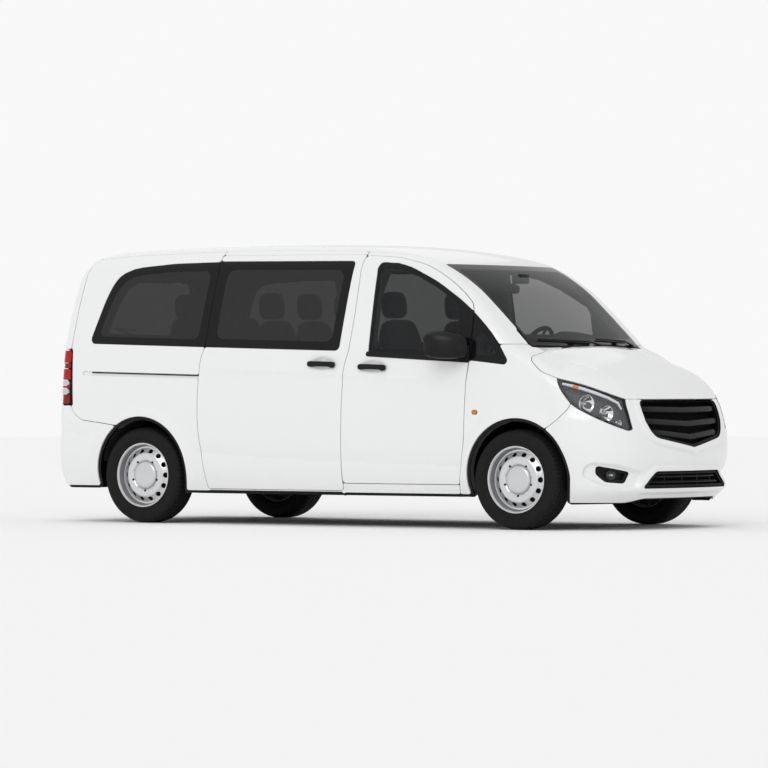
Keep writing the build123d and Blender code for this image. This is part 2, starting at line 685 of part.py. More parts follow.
def underbody():
    """Exhaust with its silencer, and the fuel tank."""
    pipe = bar((1200, 120, 360), (-1100, 120, 360), 32)
    silencer = box(-1020, -420, 40, 260, FLOOR_Z - FLOOR_T - 190, FLOOR_Z - FLOOR_T - SEAT)
    tank = box(-300, 620, 330, 780, FLOOR_Z - FLOOR_T - 210, FLOOR_Z - FLOOR_T - SEAT)
    return pieces(pipe + fillet(silencer.edges(), 25), fillet(tank.edges(), 30))


def engine():
    """The engine and gearbox as one block."""
    return box(FIREWALL_X + 130, 2190, -330, 330, 300 + SEAT, 900)


# ---- cabin ------------------------------------------------------------------------------------
WHEEL_CENTRE = (860.0, 400.0, 1240.0)
WHEEL_TILT = 28.0  # of the column above the horizontal
WHEEL_R = 190.0


def on_column(shape):
    """Places a shape made about +Z onto the steering column, +Z toward the driver."""
    return Pos(*WHEEL_CENTRE) * Rot(0, WHEEL_TILT - 90, 0) * shape


def steering_wheel():
    """Rim, three spokes, hub and shaft."""
    ring = Torus(WHEEL_R - 16, 16)
    hub = Pos(0, 0, -10) * Cylinder(62, 44)
    spoke = Pos(-(WHEEL_R - 16) / 2, 0, 0) * Box(WHEEL_R - 16, 34, 14)
    spokes = spoke + Rot(0, 0, 110) * spoke + Rot(0, 0, -110) * spoke
    shaft = Pos(0, 0, -90) * Cylinder(14, 140)
    return on_column(ring + hub + spokes + shaft)


def dashboard():
    """Instrument panel with the column's housing."""
    front = FIREWALL_X - FIREWALL_T - SEAT
    outline = [(front, 820), (front, 1100), (1330, 1182), (1130, 1205), (1035, 1165), (1010, 1050),
               (1080, 850)]
    panel_block = prism(outline, -815, 815)
    console = box(1040, 1300, -190, 190, 700, 860)
    column = on_column(Pos(0, 0, -160) * Cylinder(46, 190))
    bore = on_column(Pos(0, 0, -100) * Cylinder(14 + SEAT, 160))
    return (panel_block + console + column) - bore


SEAT_FOOT_Z = FLOOR_Z + SEAT
HEADREST_HALF = 130.0


def seat(x, y, width, base):
    """One seat or bench: base, cushion, leaning back and headrests."""
    half = width / 2
    places = max(1, round(width / 480))
    body = box(x + 60, x + 430, y - half + 40, y + half - 40, SEAT_FOOT_Z, base + 20)
    cushion = box(x, x + 520, y - half, y + half, base, base + 130)
    outline = [(x - 20, base + 60), (x + 100, base + 90), (x - 20, 1440), (x - 110, 1430)]
    back = prism(outline, y - half, y + half)
    whole = body + fillet(cushion.edges(), 35) + fillet(back.edges(), 30)
    for i in range(places):
        middle = y - half + width * (i + 0.5) / places
        outline = [(x - 118, 1455), (x - 20, 1460), (x - 40, 1620), (x - 120, 1610)]
        head = prism(outline, middle - HEADREST_HALF, middle + HEADREST_HALF)
        post = box(x - 85, x - 65, middle - 60, middle + 60, 1400, 1480)
        whole += fillet(head.edges(), 25) + post
    return whole


FRONT_SEAT_X = 255.0
BENCH_XS = (-760.0, -1640.0)


def front_seats():
    return pieces(seat(FRONT_SEAT_X, 400, 520, 760), seat(FRONT_SEAT_X, -400, 520, 760))


def rear_seats():
    return pieces(seat(BENCH_XS[0], 0, 1400, 760), seat(BENCH_XS[1], 0, 1180, 800))


def wipers():
    """Two wipers parked at the foot of the windscreen."""
    found = []
    for pivot_y, far_y in ((-60, -640), (560, -20)):
        stations = [(y, 1600 - 210 * (y / 1000) ** 2 - 52) for y in (pivot_y, (pivot_y + far_y) / 2, far_y)]
        (y0, x0), (y1, x1), (y2, x2) = stations
        arm = bar((x0, y0, 1296), (x1, y1, 1298), 9) + bar((x1, y1, 1298), (x2, y2, 1300), 9)
        pivot = Pos(x0 + 24, y0, 1270) * Cylinder(15, 60)
        pivot += bar((x0 + 24, y0, 1290), (x0, y0, 1296), 9)
        found.append(largest((arm + pivot) - form(-SEAT)))
    return pieces(*found)


if __name__ == "__main__":
    os.makedirs("parts", exist_ok=True)
    right = {
        "side_frame": side_frame(-1),
        "front_fender": fender(-1),
        "sliding_door": sliding_door(-1),
        "front_door": front_door(-1),
        "front_door_glass": front_door_glass(-1),
        "mirror": mirror_housing(-1),
        "knuckle": knuckle(-1),
    }
    nodes = {
        "roof": roof(),
        "floor": floor(),
        "cowl": cowl(),
        "front_bumper": front_bumper(),
        "rear_bumper": rear_bumper(),
        "bonnet": bonnet(),
        "grilles": grilles(),
        "front_lamps": front_lamps(),
        "tail_lamps": tail_lamps(),
        "windscreen": windscreen(),
        "side_glass": side_glass(),
        "tailgate": tailgate(),
        "tailgate_glass": tailgate_glass(),
        "wipers": wipers(),
        "dashboard": dashboard(),
        "steering_wheel": steering_wheel(),
        "front_seats": front_seats(),
        "rear_seats": rear_seats(),
        "engine": engine(),
        "front_subframe": front_subframe(),
        "rear_axle": rear_axle(),
        "underbody": underbody(),
    }
    for name, shape in right.items():
        nodes[f"{name}_right"] = shape
        nodes[f"{name}_left"] = mirrored(shape)
    for end, x, track in (("front", FRONT_AXLE_X, FRONT_TRACK), ("rear", REAR_AXLE_X, REAR_TRACK)):
        for side, sign in SIDES:
            nodes[f"tyre_{end}_{side}"] = tyre(x, track, sign)
            nodes[f"rim_{end}_{side}"] = rim(x, track, sign)
    for name, shape in nodes.items():
        export_step(shape, f"parts/{name}.step")
        print(name, len(shape.solids()))
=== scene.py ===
"""Looks of the minibus: painted skin, glass, lamps, wheels and cabin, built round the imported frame.
Metres. +X is forward, +Y is the vehicle's left, +Z is up."""
import math

import bmesh
import bpy
import numpy as np
from mathutils import Matrix, Vector

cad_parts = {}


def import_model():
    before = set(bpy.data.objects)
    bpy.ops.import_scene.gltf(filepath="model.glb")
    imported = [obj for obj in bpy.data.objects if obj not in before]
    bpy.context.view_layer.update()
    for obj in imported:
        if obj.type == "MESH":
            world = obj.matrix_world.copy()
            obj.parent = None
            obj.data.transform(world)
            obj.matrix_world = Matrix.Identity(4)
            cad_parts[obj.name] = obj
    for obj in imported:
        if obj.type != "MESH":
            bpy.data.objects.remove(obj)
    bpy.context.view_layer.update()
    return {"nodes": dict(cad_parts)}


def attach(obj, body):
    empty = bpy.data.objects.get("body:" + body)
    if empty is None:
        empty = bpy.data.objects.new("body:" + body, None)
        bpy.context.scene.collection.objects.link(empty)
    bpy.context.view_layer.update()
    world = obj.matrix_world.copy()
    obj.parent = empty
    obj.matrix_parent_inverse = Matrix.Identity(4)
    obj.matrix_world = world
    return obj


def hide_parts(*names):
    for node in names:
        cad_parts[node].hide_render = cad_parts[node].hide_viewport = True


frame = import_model()


# ---- sizes shared with the solids --------------------------------------------
HALF_WIDTH = 0.964
FRONT_AXLE_X, REAR_AXLE_X = 1.5525, -1.6475
TYRE_R = 0.343
FRONT_WHEEL_Y, REAR_WHEEL_Y = 0.833, 0.823
ARCH_R, ARCH_Z = 0.404, 0.357
WALL = 0.060
CELL = 0.016  # spacing of the skin's mesh
SIDES = (("right", -1), ("left", 1))


# ---- materials ---------------------------------------------------------------
class Value:
    """A number that varies over a surface. Arithmetic on it adds Math nodes."""

    def __init__(self, finish, socket):
        self.finish = finish
        self.socket = socket

    def __add__(self, other):
        return self.finish.math("ADD", self, other)

    def __sub__(self, other):
        return self.finish.math("SUBTRACT", self, other)

    def __rsub__(self, other):
        return self.finish.math("SUBTRACT", other, self)

    def __mul__(self, other):
        return self.finish.math("MULTIPLY", self, other)

    def __truediv__(self, other):
        return self.finish.math("DIVIDE", self, other)

    __radd__ = __add__
    __rmul__ = __mul__

    def clamp(self):
        return self.finish.math("ADD", self, 0.0, use_clamp=True)

    def above(self, edge, soft):
        """0 below the edge and 1 above it, with a soft step."""
        return ((self - (edge - soft)) / (2 * soft)).clamp()


class Nodes:
    """A node tree, with the one method that adds nodes to it."""

    def __init__(self, tree):
        self.tree = tree
        tree.nodes.clear()

    def join(self, value, socket):
        """Links a socket to another, or sets its number or colour."""
        value = value.socket if isinstance(value, Value) else value
        if isinstance(value, bpy.types.NodeSocket):
            self.tree.links.new(value, socket)
        else:
            socket.default_value = value

    def add(self, kind, settings=None, inputs=None):
        """A node: its type, its settings, then its sockets' values or links."""
        made = self.tree.nodes.new(kind)
        for key, value in (settings or {}).items():
            setattr(made, key, value)
        for key, value in (inputs or {}).items():
            self.join(value, made.inputs[key])
        return made

    def node(self, kind, settings=None, inputs=None, out=0):
        """One output of a new node."""
        return self.add(kind, settings, inputs).outputs[out]


class Finish(Nodes):
    """A material: one Principled shader and the nodes that vary it."""

    COLOUR_A, COLOUR_B, COLOUR_OUT = 6, 7, 2  # colour sockets of a Mix node

    def __init__(self, name, colour, roughness, **constants):
        self.material = bpy.data.materials.new(name)
        self.material.use_nodes = True
        super().__init__(self.material.node_tree)
        self.shader = self.add("ShaderNodeBsdfPrincipled")
        self.add("ShaderNodeOutputMaterial", {}, {"Surface": self.shader.outputs[0]})
        self.set("Base Color", (*colour, 1.0))
        self.set("Roughness", roughness)
        for key, value in constants.items():
            self.set(key.replace("_", " "), value)

    def set(self, name, value):
        """Sets or links one of the shader's sockets."""
        self.join(value, self.shader.inputs[name])

    def math(self, operation, a, b=0.0, use_clamp=False):
        settings = {"operation": operation, "use_clamp": use_clamp}
        return Value(self, self.node("ShaderNodeMath", settings, {0: a, 1: b}))

    def place(self):
        return self.node("ShaderNodeTexCoord", out="Object")

    def along(self, axis):
        """The object coordinate along X, Y or Z as a number."""
        return Value(self, self.node("ShaderNodeSeparateXYZ", {}, {0: self.place()}, out=axis))

    def noise(self, scale, detail=2.0):
        """Soft noise from 0 to 1."""
        inputs = {"Vector": self.place(), "Scale": scale, "Detail": detail}
        return Value(self, self.node("ShaderNodeTexNoise", {}, inputs, out="Fac"))

    def cells(self, scale):
        """Distance to the nearest of scattered points, as a grain."""
        inputs = {"Vector": self.place(), "Scale": scale}
        return Value(self, self.node("ShaderNodeTexVoronoi", {}, inputs, out="Distance"))

    def mix(self, factor, low, high):
        """A colour between two, by a varying factor."""
        inputs = {"Factor": factor, self.COLOUR_A: (*low, 1.0), self.COLOUR_B: (*high, 1.0)}
        return self.node("ShaderNodeMix", {"data_type": "RGBA"}, inputs, out=self.COLOUR_OUT)

    def bump(self, height, distance, strength=1.0):
        inputs = {"Height": height, "Distance": distance, "Strength": strength}
        self.set("Normal", self.node("ShaderNodeBump", {}, inputs))


def body_paint():
    """White gloss paint under clear lacquer, with a trace of orange peel, and blotches low down that are a
    little darker, greyer and rougher.
    """
    f = Finish("body_paint", (0.84, 0.845, 0.85), 0.28, Coat_Weight=0.9, Coat_Roughness=0.04, IOR=1.45)
    # blotches toward the bottom: darker, greyer colour and more roughness
    low_tone = (1.0 - f.along("Z").above(0.42, 0.22)) * f.noise(5.0, 4.0)
    f.set("Base Color", f.mix(low_tone * 0.14, (0.84, 0.845, 0.85), (0.70, 0.69, 0.67)))
    f.set("Roughness", f.noise(3.0) * 0.05 + 0.26 + low_tone * 0.1)
    f.bump(f.noise(260.0, 1.0), 0.00002)
    return f.material


def moulded(name, colour, roughness, grain=900.0, depth=0.00008, **constants):
    """Moulded plastic with a fine grain."""
    f = Finish(name, colour, roughness, **{"Specular_IOR_Level": 0.16, **constants})
    light = tuple(min(1.0, c * 1.25 + 0.004) for c in colour)
    f.set("Base Color", f.mix(f.noise(14.0, 3.0), colour, light))
    f.set("Roughness", f.noise(30.0) * 0.14 + (roughness - 0.07))
    f.bump(f.cells(grain), depth)
    return f.material


def gloss_black():
    """Smooth black of the glass borders and the screens."""
    f = Finish("gloss_black", (0.006, 0.006, 0.007), 0.08, Specular_IOR_Level=0.22)
    f.set("Roughness", f.noise(40.0) * 0.05 + 0.06)
    return f.material


def tyre_rubber():
    """Black rubber, a little browner and duller in places."""
    f = Finish("tyre_rubber", (0.012, 0.012, 0.012), 0.62, Specular_IOR_Level=0.12)
    f.set("Base Color", f.mix(f.noise(26.0, 5.0), (0.007, 0.007, 0.007), (0.016, 0.015, 0.0145)))
    f.set("Roughness", f.noise(60.0, 3.0) * 0.18 + 0.5)
    f.bump(f.noise(700.0, 2.0), 0.00012)
    return f.material


def silver_lacquer():
    """Silver lacquered steel of the rims."""
    f = Finish("silver_lacquer", (0.60, 0.61, 0.62), 0.3, Metallic=0.75, Coat_Weight=0.35,
               Coat_Roughness=0.12)
    f.set("Base Color", f.mix(f.noise(9.0, 4.0), (0.66, 0.67, 0.68), (0.76, 0.765, 0.77)))
    f.set("Roughness", f.noise(35.0, 3.0) * 0.14 + 0.24)
    f.bump(f.noise(900.0, 1.0), 0.00002)
    return f.material


def cap_lacquer():
    """Smoother silver of the wheel caps."""
    f = Finish("cap_lacquer", (0.66, 0.67, 0.68), 0.3, Metallic=0.6, Coat_Weight=0.5, Coat_Roughness=0.08)
    f.set("Roughness", f.noise(30.0) * 0.08 + 0.27)
    return f.material


def chrome():
    """Bright plating of reflectors, mirrors and headrest posts."""
    f = Finish("chrome", (0.86, 0.87, 0.88), 0.06, Metallic=1.0)
    f.set("Roughness", f.noise(50.0) * 0.06 + 0.04)
    return f.material


def glass(name, colour, alpha):
    """A tinted pane: dark, glossy and partly see-through."""
    f = Finish(name, colour, 0.02, Specular_IOR_Level=0.22)
    haze = f.noise(4.0, 2.0)
    f.set("Alpha", haze * 0.02 + (alpha - 0.01))
    f.set("Roughness", haze * 0.02 + 0.02)
    return f.material


def fabric(name, dark, light):
    """Woven seat cloth: crossing threads, with slight wear."""
    threads_per_metre = 420.0
    f = Finish(name, dark, 0.9, Sheen_Weight=0.25, Sheen_Roughness=0.5)
    threads = []
    for axis in ("X", "Z"):
        wave = f.math("SINE", f.along(axis) * threads_per_metre * 6.28)
        threads.append(wave * 0.5 + 0.5)
    weave = threads[0] * threads[1]
    f.set("Base Color", f.mix((weave * 0.5 + f.noise(18.0, 4.0) * 0.6).clamp(), dark, light))
    f.bump(weave, 0.0004, 0.7)
    return f.material


def painted_steel(name, colour, roughness=0.5):
    """Chassis paint with a dusty film and small pits."""
    f = Finish(name, colour, roughness, Specular_IOR_Level=0.2)
    dust = f.noise(7.0, 5.0)
    f.set("Base Color", f.mix(dust * 0.5, colour, tuple(c * 1.6 + 0.012 for c in colour)))
    f.set("Roughness", dust * 0.2 + (roughness - 0.05))
    f.bump(f.noise(160.0, 3.0), 0.0003)
    return f.material


def lens(name, colour, alpha):
    """A moulded lamp lens with fine optics behind the surface."""
    f = Finish(name, colour, 0.05, Specular_IOR_Level=0.3, Coat_Weight=0.25, Coat_Roughness=0.02)
    ribs = f.math("SINE", f.along("Z") * 900.0) * 0.5 + 0.5
    f.set("Base Color", f.mix(ribs * 0.25, colour, tuple(min(1.0, c * 1.4 + 0.004) for c in colour)))
    f.set("Alpha", ribs * 0.03 + (alpha - 0.02))
    f.bump(ribs, 0.0003, 0.4)
    return f.material


PAINT = body_paint()
BLACK = moulded("black_plastic", (0.008, 0.008, 0.0085), 0.42)
# seal black for the rubber seals; on the flanges under the panel gaps the same black is painted shade
SEAL_AND_GAP_SHADE = moulded("seal_and_painted_gap_shade", (0.010, 0.010, 0.010), 0.7)
TRIM = moulded("cabin_trim", (0.085, 0.086, 0.09), 0.6, 500.0, 0.0002)
HEADLINER = moulded("headliner", (0.32, 0.32, 0.31), 0.85, 700.0, 0.0002)
GLOSS = gloss_black()
TYRE = tyre_rubber()
SILVER = silver_lacquer()
CHROME = chrome()
CAP_SILVER = cap_lacquer()
# the rim's well is painted a darker grey than its silver: painted shade for the shadow inside the barrel
WELL_SHADE = painted_steel("rim_well_painted_shade", (0.16, 0.16, 0.165), 0.5)
SATIN = moulded("satin_black", (0.006, 0.006, 0.0065), 0.30, 1500.0, 0.00002, Specular_IOR_Level=0.22)
LINER = moulded("liner_felt", (0.004, 0.004, 0.004), 0.85, 300.0, 0.0004, Specular_IOR_Level=0.05)
CLEAR = glass("clear_glass", (0.018, 0.020, 0.021), 0.63)
PRIVACY = glass("privacy_glass", (0.028, 0.028, 0.029), 0.87)
CLOTH = fabric("seat_cloth", (0.030, 0.030, 0.033), (0.075, 0.075, 0.082))
CHASSIS = painted_steel("chassis_paint", (0.022, 0.022, 0.023))
UNDERSEAL = painted_steel("underseal", (0.030, 0.029, 0.028), 0.75)
CAST = painted_steel("cast_metal", (0.18, 0.18, 0.18), 0.5)
LAMP_GLASS = glass("lamp_cover", (0.55, 0.57, 0.6), 0.12)
LAMP_DARK = moulded("lamp_housing", (0.06, 0.062, 0.066), 0.3)
RED = lens("red_lens", (0.36, 0.002, 0.004), 0.98)
WHITE_LENS = lens("white_lens", (0.55, 0.56, 0.58), 0.95)
AMBER = lens("amber_lens", (0.75, 0.20, 0.02), 0.95)
DARK_RED = lens("dark_red_lens", (0.20, 0.002, 0.003), 0.98)
STRIP = lens("light_strip", (0.72, 0.73, 0.75), 0.96)
PLATE = moulded("blank_plate", (0.62, 0.62, 0.60), 0.4, 1200.0, 0.00003)


# ---- curves and outlines -----------------------------------------------------
def spline(*points):
    """A smooth curve through points, as a function: a natural cubic spline."""
    x, y = (np.array(v, float) for v in zip(*points))
    h = np.diff(x)
    n = len(x)
    a = np.eye(n)
    b = np.zeros(n)
    for i in range(1, n - 1):
        a[i, i - 1:i + 2] = h[i - 1], 2 * (h[i - 1] + h[i]), h[i]
        b[i] = 6 * ((y[i + 1] - y[i]) / h[i] - (y[i] - y[i - 1]) / h[i - 1])
    m = np.linalg.solve(a, b)

    def at(value):
        v = np.asarray(value, float)
        i = np.clip(np.searchsorted(x, v) - 1, 0, n - 2)
        u = np.clip(v, x[0], x[-1])
        s, t, d = x[i + 1] - u, u - x[i], h[i]
        bend = (m[i] * s**3 + m[i + 1] * t**3) / (6 * d)
        inside = bend + (y[i] / d - m[i] * d / 6) * s + (y[i + 1] / d - m[i + 1] * d / 6) * t
        first = (y[1] - y[0]) / h[0] - h[0] * m[1] / 6
        last = (y[-1] - y[-2]) / h[-1] + h[-1] * m[-2] / 6
        return inside + np.minimum(v - x[0], 0) * first + np.maximum(v - x[-1], 0) * last

    return at


def rounded(*corners):
    """A closed outline from (u, v) or (u, v, radius) corners, with the corners as arcs."""
    pts = [np.array(c[:2], float) for c in corners]
    out = []
    for i, corner in enumerate(corners):
        p, a, b = pts[i], pts[i - 1], pts[(i + 1) % len(pts)]
        da, db = (a - p) / np.linalg.norm(a - p), (b - p) / np.linalg.norm(b - p)
        half = math.acos(max(-1.0, min(1.0, float(da @ db)))) / 2
        r = corner[2] if len(corner) > 2 else 0.0
        if r == 0.0 or half > math.pi / 2 - 0.01:
            out.append(p)
            continue
        room = 0.48 * min(np.linalg.norm(a - p), np.linalg.norm(b - p))
        cut = min(r / math.tan(half), room)
        r = cut * math.tan(half)
        middle = p + (da + db) / np.linalg.norm(da + db) * r / math.sin(half)
        start, end = p + da * cut - middle, p + db * cut - middle
        a0 = math.atan2(start[1], start[0])
        turn = (math.atan2(end[1], end[0]) - a0 + math.pi) % (2 * math.pi) - math.pi
        steps = max(2, int(abs(turn) / 0.22))
        for k in range(steps + 1):
            t = a0 + turn * k / steps
            out.append(middle + r * np.array([math.cos(t), math.sin(t)]))
    return np.array(out)


def rectangle(half_u, half_v, r):
    """A rectangle about the origin, with its corners rounded."""
    return rounded((-half_u, -half_v, r), (half_u, -half_v, r), (half_u, half_v, r), (-half_u, half_v, r))


def distance(outline, u, v):
    """Signed distance of points (u, v) from a closed outline, below 0 inside. Far points get 1."""
    low, high = outline.min(0) - 0.12, outline.max(0) + 0.12
    near = (u > low[0]) & (u < high[0]) & (v > low[1]) & (v < high[1])
    result = np.ones(len(u))
    if not near.any():
        return result
    p = np.stack([u[near], v[near]], 1)
    best = np.full(len(p), 9.0)
    inside = np.zeros(len(p), bool)
    for a, b in zip(outline, np.roll(outline, -1, 0)):
        e = b - a
        w = p - a
        t = np.clip((w @ e) / max(e @ e, 1e-12), 0, 1)
        best = np.minimum(best, np.hypot(*(w - t[:, None] * e).T))
        crosses = (a[1] > p[:, 1]) != (b[1] > p[:, 1])
        rise = e[1] if abs(e[1]) > 1e-12 else 1e-12
        inside ^= crosses & (p[:, 0] < a[0] + (p[:, 1] - a[1]) / rise * e[0])
    result[near] = np.where(inside, -best, best)
    return result


def smooth_max(a, b, r):
    """The larger of two distances, with the edge between them rounded to radius r."""
    return np.minimum(-r, np.maximum(a, b)) + np.hypot(np.maximum(a + r, 0), np.maximum(b + r, 0))


def smooth_min(a, b, r):
    return -smooth_max(-a, -b, r)


def ease(value, low, high):
    """0 below low and 1 above high, smoothly."""
    t = np.clip((value - low) / (high - low), 0, 1)
    return t * t * (3 - 2 * t)


# ---- outer form --------------------------------------------------------------
MID_X = -0.35
# openings of the nose seen from ahead, (y, z, corner radius)
GRILLE = rounded(
    (-0.502, 0.882, 0.035), (0.502, 0.882, 0.035), (0.508, 0.742, 0.25), (0.432, 0.634, 0.12),
    (0.0, 0.564, 0.05), (-0.432, 0.634, 0.12), (-0.508, 0.742, 0.25))
LOWER_GRILLE = rounded(
    (-0.405, 0.399, 0.04), (0.405, 0.399, 0.04), (0.555, 0.284, 0.012), (-0.555, 0.284, 0.012))
FOG = rounded(
    (0.604, 0.394, 0.016), (0.796, 0.439, 0.010), (0.788, 0.385, 0.05), (0.745, 0.330, 0.03),
    (0.644, 0.320, 0.03))
POCKET = rounded(
    (0.855, 0.474, 0.04), (0.705, 0.448, 0.2), (0.59, 0.416, 0.2), (0.495, 0.396, 0.03),
    (0.575, 0.282, 0.04), (0.64, 0.272, 0.1), (0.77, 0.300, 0.08), (0.85, 0.36, 0.06))
TUCK = spline(
    (0.10, 0.125), (0.236, 0.062), (0.33, 0.036), (0.515, 0.014), (0.68, 0.004), (0.80, 0.0), (0.92, 0.002),
    (1.03, 0.008), (1.222, 0.024), (1.442, 0.064), (1.60, 0.097), (1.751, 0.134), (1.86, 0.168),
    (2.0, 0.225))
FRONT_FACE = spline(
    (0.10, 2.23), (0.17, 2.29), (0.22, 2.342), (0.27, 2.385), (0.31, 2.392), (0.36, 2.383), (0.45, 2.396),
    (0.60, 2.402), (0.75, 2.374), (0.90, 2.326), (1.05, 2.25), (1.33, 2.09))
REAR_FACE = spline(
    (0.15, -2.36), (0.28, -2.43), (0.40, -2.458), (0.52, -2.46), (0.66, -2.452), (0.90, -2.436),
    (1.24, -2.424), (1.45, -2.405), (1.65, -2.374), (1.80, -2.338), (1.90, -2.300), (2.0, -2.25))
BONNET_LINE = spline(
    (1.20, 1.275), (1.44, 1.273), (1.60, 1.268), (1.70, 1.252), (1.83, 1.214), (2.04, 1.135),
    (2.190, 1.048), (2.280, 0.965), (2.330, 0.885), (2.38, 0.760))
ROOF_LINE = spline(
    (-2.35, 1.916), (-2.1, 1.965), (-1.8, 1.982), (-1.2, 1.993), (-0.6, 1.994), (0, 1.981), (0.35, 1.957),
    (0.62, 1.916), (0.85, 1.855), (1.05, 1.784))
BONNET_STATIONS = np.linspace(1.2, 2.4, 61)
BONNET_SLOPES = np.gradient(BONNET_LINE(BONNET_STATIONS), 0.02)
FRONT_BOW_R, FRONT_CORNER_R = 2.20, 0.50
CORNER_BACK, CORNER_HALF_WIDTH = 0.66, 0.93  # where the nose's corners meet the sides
REAR_BOW_R, REAR_CORNER_R = 14.0, 0.065
SCREEN_FOOT = (1.655, 1.240)  # (x, z) of the windscreen's lower end, and of its upper end
SCREEN_TOP = (0.965, 1.826)
FRONT_TAPER, REAR_TAPER = 0.096, 0.046  # lost from the half width at the nose and at the tail
ARCH_SWELL, CREASE, HANDLE_DISH = 0.013, 0.0095, 0.016
WAIST_CREASE = spline((-2.35, 1.165), (-1.11, 1.110), (0.58, 1.034), (1.35, 0.985))
LOW_CREASE = spline((-2.35, 0.655), (-1.25, 0.521), (0.11, 0.457), (0.58, 0.442), (1.20, 0.43))


def ridge(t, above, below):
    """A soft ridge: 1 at t = 0, fading over `above` upward and over `below` downward."""
    return np.exp(-np.abs(t) / np.where(t > 0, above, below))


HANDLES = ((0.384, 1.117), (-0.044, 1.138))  # middle of each door handle, as (x, z)


def half_width(x, z):
    """Half the body's width at a height and station, with arches and creases."""
    ahead, behind = ((x - MID_X) / 2.95) ** 2, ((x - MID_X) / 2.25) ** 2
    w = HALF_WIDTH - np.where(x > MID_X, FRONT_TAPER * ahead, REAR_TAPER * behind) - TUCK(z)
    for cx, reach in ((FRONT_AXLE_X, 0.095), (REAR_AXLE_X, 0.090)):
        d = np.hypot(x - cx, z - ARCH_Z) - ARCH_R
        w = w + ARCH_SWELL * (1 - ease(d, 0.012, reach)) * ease(d, -0.35, -0.05)
    fade = ease(x, -1.30, -0.9) * (1 - ease(x, 0.95, 1.45))
    w = w + CREASE * fade * ridge(z - WAIST_CREASE(x), 0.10, 0.022)
    fade = ease(np.abs(x - FRONT_AXLE_X), 0.38, 0.52) * ease(np.abs(x - REAR_AXLE_X), 0.40, 0.60)
    w = w - CREASE * fade * ridge(z - LOW_CREASE(x), 0.060, 0.030)
    for cx, cz in HANDLES:
        w = w - HANDLE_DISH * (1 - ease(np.hypot((x - cx) / 0.112, (z - cz - 0.003) / 0.056), 0.35, 1.0))
    return w


def plan_form(x, y, z):
    """Distance from the side, nose and tail, seen from above at each height."""
    front, rear = FRONT_FACE(z), REAR_FACE(z)
    centre = front - FRONT_BOW_R
    reach = FRONT_BOW_R - FRONT_CORNER_R
    cy = np.minimum(half_width(front - CORNER_BACK, z), CORNER_HALF_WIDTH) - FRONT_CORNER_R
    cx = centre + np.sqrt(np.maximum(reach**2 - cy**2, 0))
    bow = np.hypot(x - centre, y) - FRONT_BOW_R
    corner = np.hypot(x - cx, y - cy) - FRONT_CORNER_R
    side = y - half_width(np.minimum(x, cx), z)
    in_bow = y * (cx - centre) < cy * (x - centre)
    nose = np.where(in_bow, bow, corner)
    front_part = np.where(x > cx, np.maximum(nose, side), side)
    tail = np.hypot(x - (rear + REAR_BOW_R), y) - REAR_BOW_R
    return smooth_max(front_part, np.where(x < 0, tail, -1.0), REAR_CORNER_R)


def bonnet_top(x, y, z):
    """Distance above the bonnet, which falls to its sides and has a soft crease on each shoulder."""
    shoulder = 0.700 - 0.130 * ease(x, 1.50, 2.25)
    fall = 0.020 + 0.165 * ease(x, 1.42, 1.86)
    crown = BONNET_LINE(x) - fall * y**2 + 0.007 * ridge(y - shoulder, 0.035, 0.035)
    tilt = np.interp(x, BONNET_STATIONS, BONNET_SLOPES)
    return (z - crown) / np.sqrt(1 + tilt**2)


def screen_front(x, y, z):
    """Distance ahead of the windscreen, which bows across and bulges a little along its slope."""
    (foot_x, foot_z), (top_x, top_z) = SCREEN_FOOT, SCREEN_TOP
    rise = np.clip((z - foot_z) / (top_z - foot_z), 0, 1)
    bow = (0.210 - 0.105 * rise) * y**2
    bulge = 0.016 * 4 * rise * (1 - rise)
    lean = (top_x - foot_x) / (top_z - foot_z)
    return (x - (foot_x + lean * (z - foot_z) - bow + bulge)) / math.hypot(1, lean)


def nose_lips(x, y, z):
    """How far the nose stands out round its grilles, less the fog lamps' pockets."""
    lip = np.zeros(len(x))
    ahead = x > 1.9
    if np.any(ahead):
        upper, lower, pocket = (distance(line, y[ahead], z[ahead]) for line in (GRILLE, LOWER_GRILLE, POCKET))
        lip[ahead] = (0.022 * (1 - ease(upper, 0.030, 0.054)) + 0.016 * (1 - ease(lower, 0.024, 0.046))
                      - 0.022 * (1 - ease(pocket, -0.026, 0.004)))
    return lip


def body_form(x, y, z):
    """The whole closed body as a distance, below 0 inside. y is taken on either side."""
    y = np.abs(y)
    plan = plan_form(x, y, z) - nose_lips(x, y, z)
    roof = z - (ROOF_LINE(x) - 0.060 * y**2)
    house = smooth_max(roof, screen_front(x, y, z), 0.10)
    top = smooth_min(house, bonnet_top(x, y, z), 0.018)
    radius = 0.15 - 0.085 * ease(x, 0.2, 1.0) + 0.02 * ease(x, 1.5, 1.8) - 0.02 * ease(-x, 2.0, 2.3)
    return smooth_max(plan, top, radius)


def slopes(points):
    """Outward unit normals of the body's form."""
    step = 0.0008
    g = []
    for axis in range(3):
        d = np.zeros(3)
        d[axis] = step
        g.append(body_form(*(points + d).T) - body_form(*(points - d).T))
    g = np.stack(g, 1)
    return g / np.maximum(np.linalg.norm(g, axis=1, keepdims=True), 1e-9)


# Rays start on a small skeleton inside the body and run out to its form.
CORE_FRONT_X, CORE_FRONT_Y = 1.72, 0.30
CORE_REAR_X, CORE_REAR_Y = -2.20, 0.74
CORE_Z, SKIRT_Z, NOSE_TOP_Z = 0.72, 0.150, 0.925


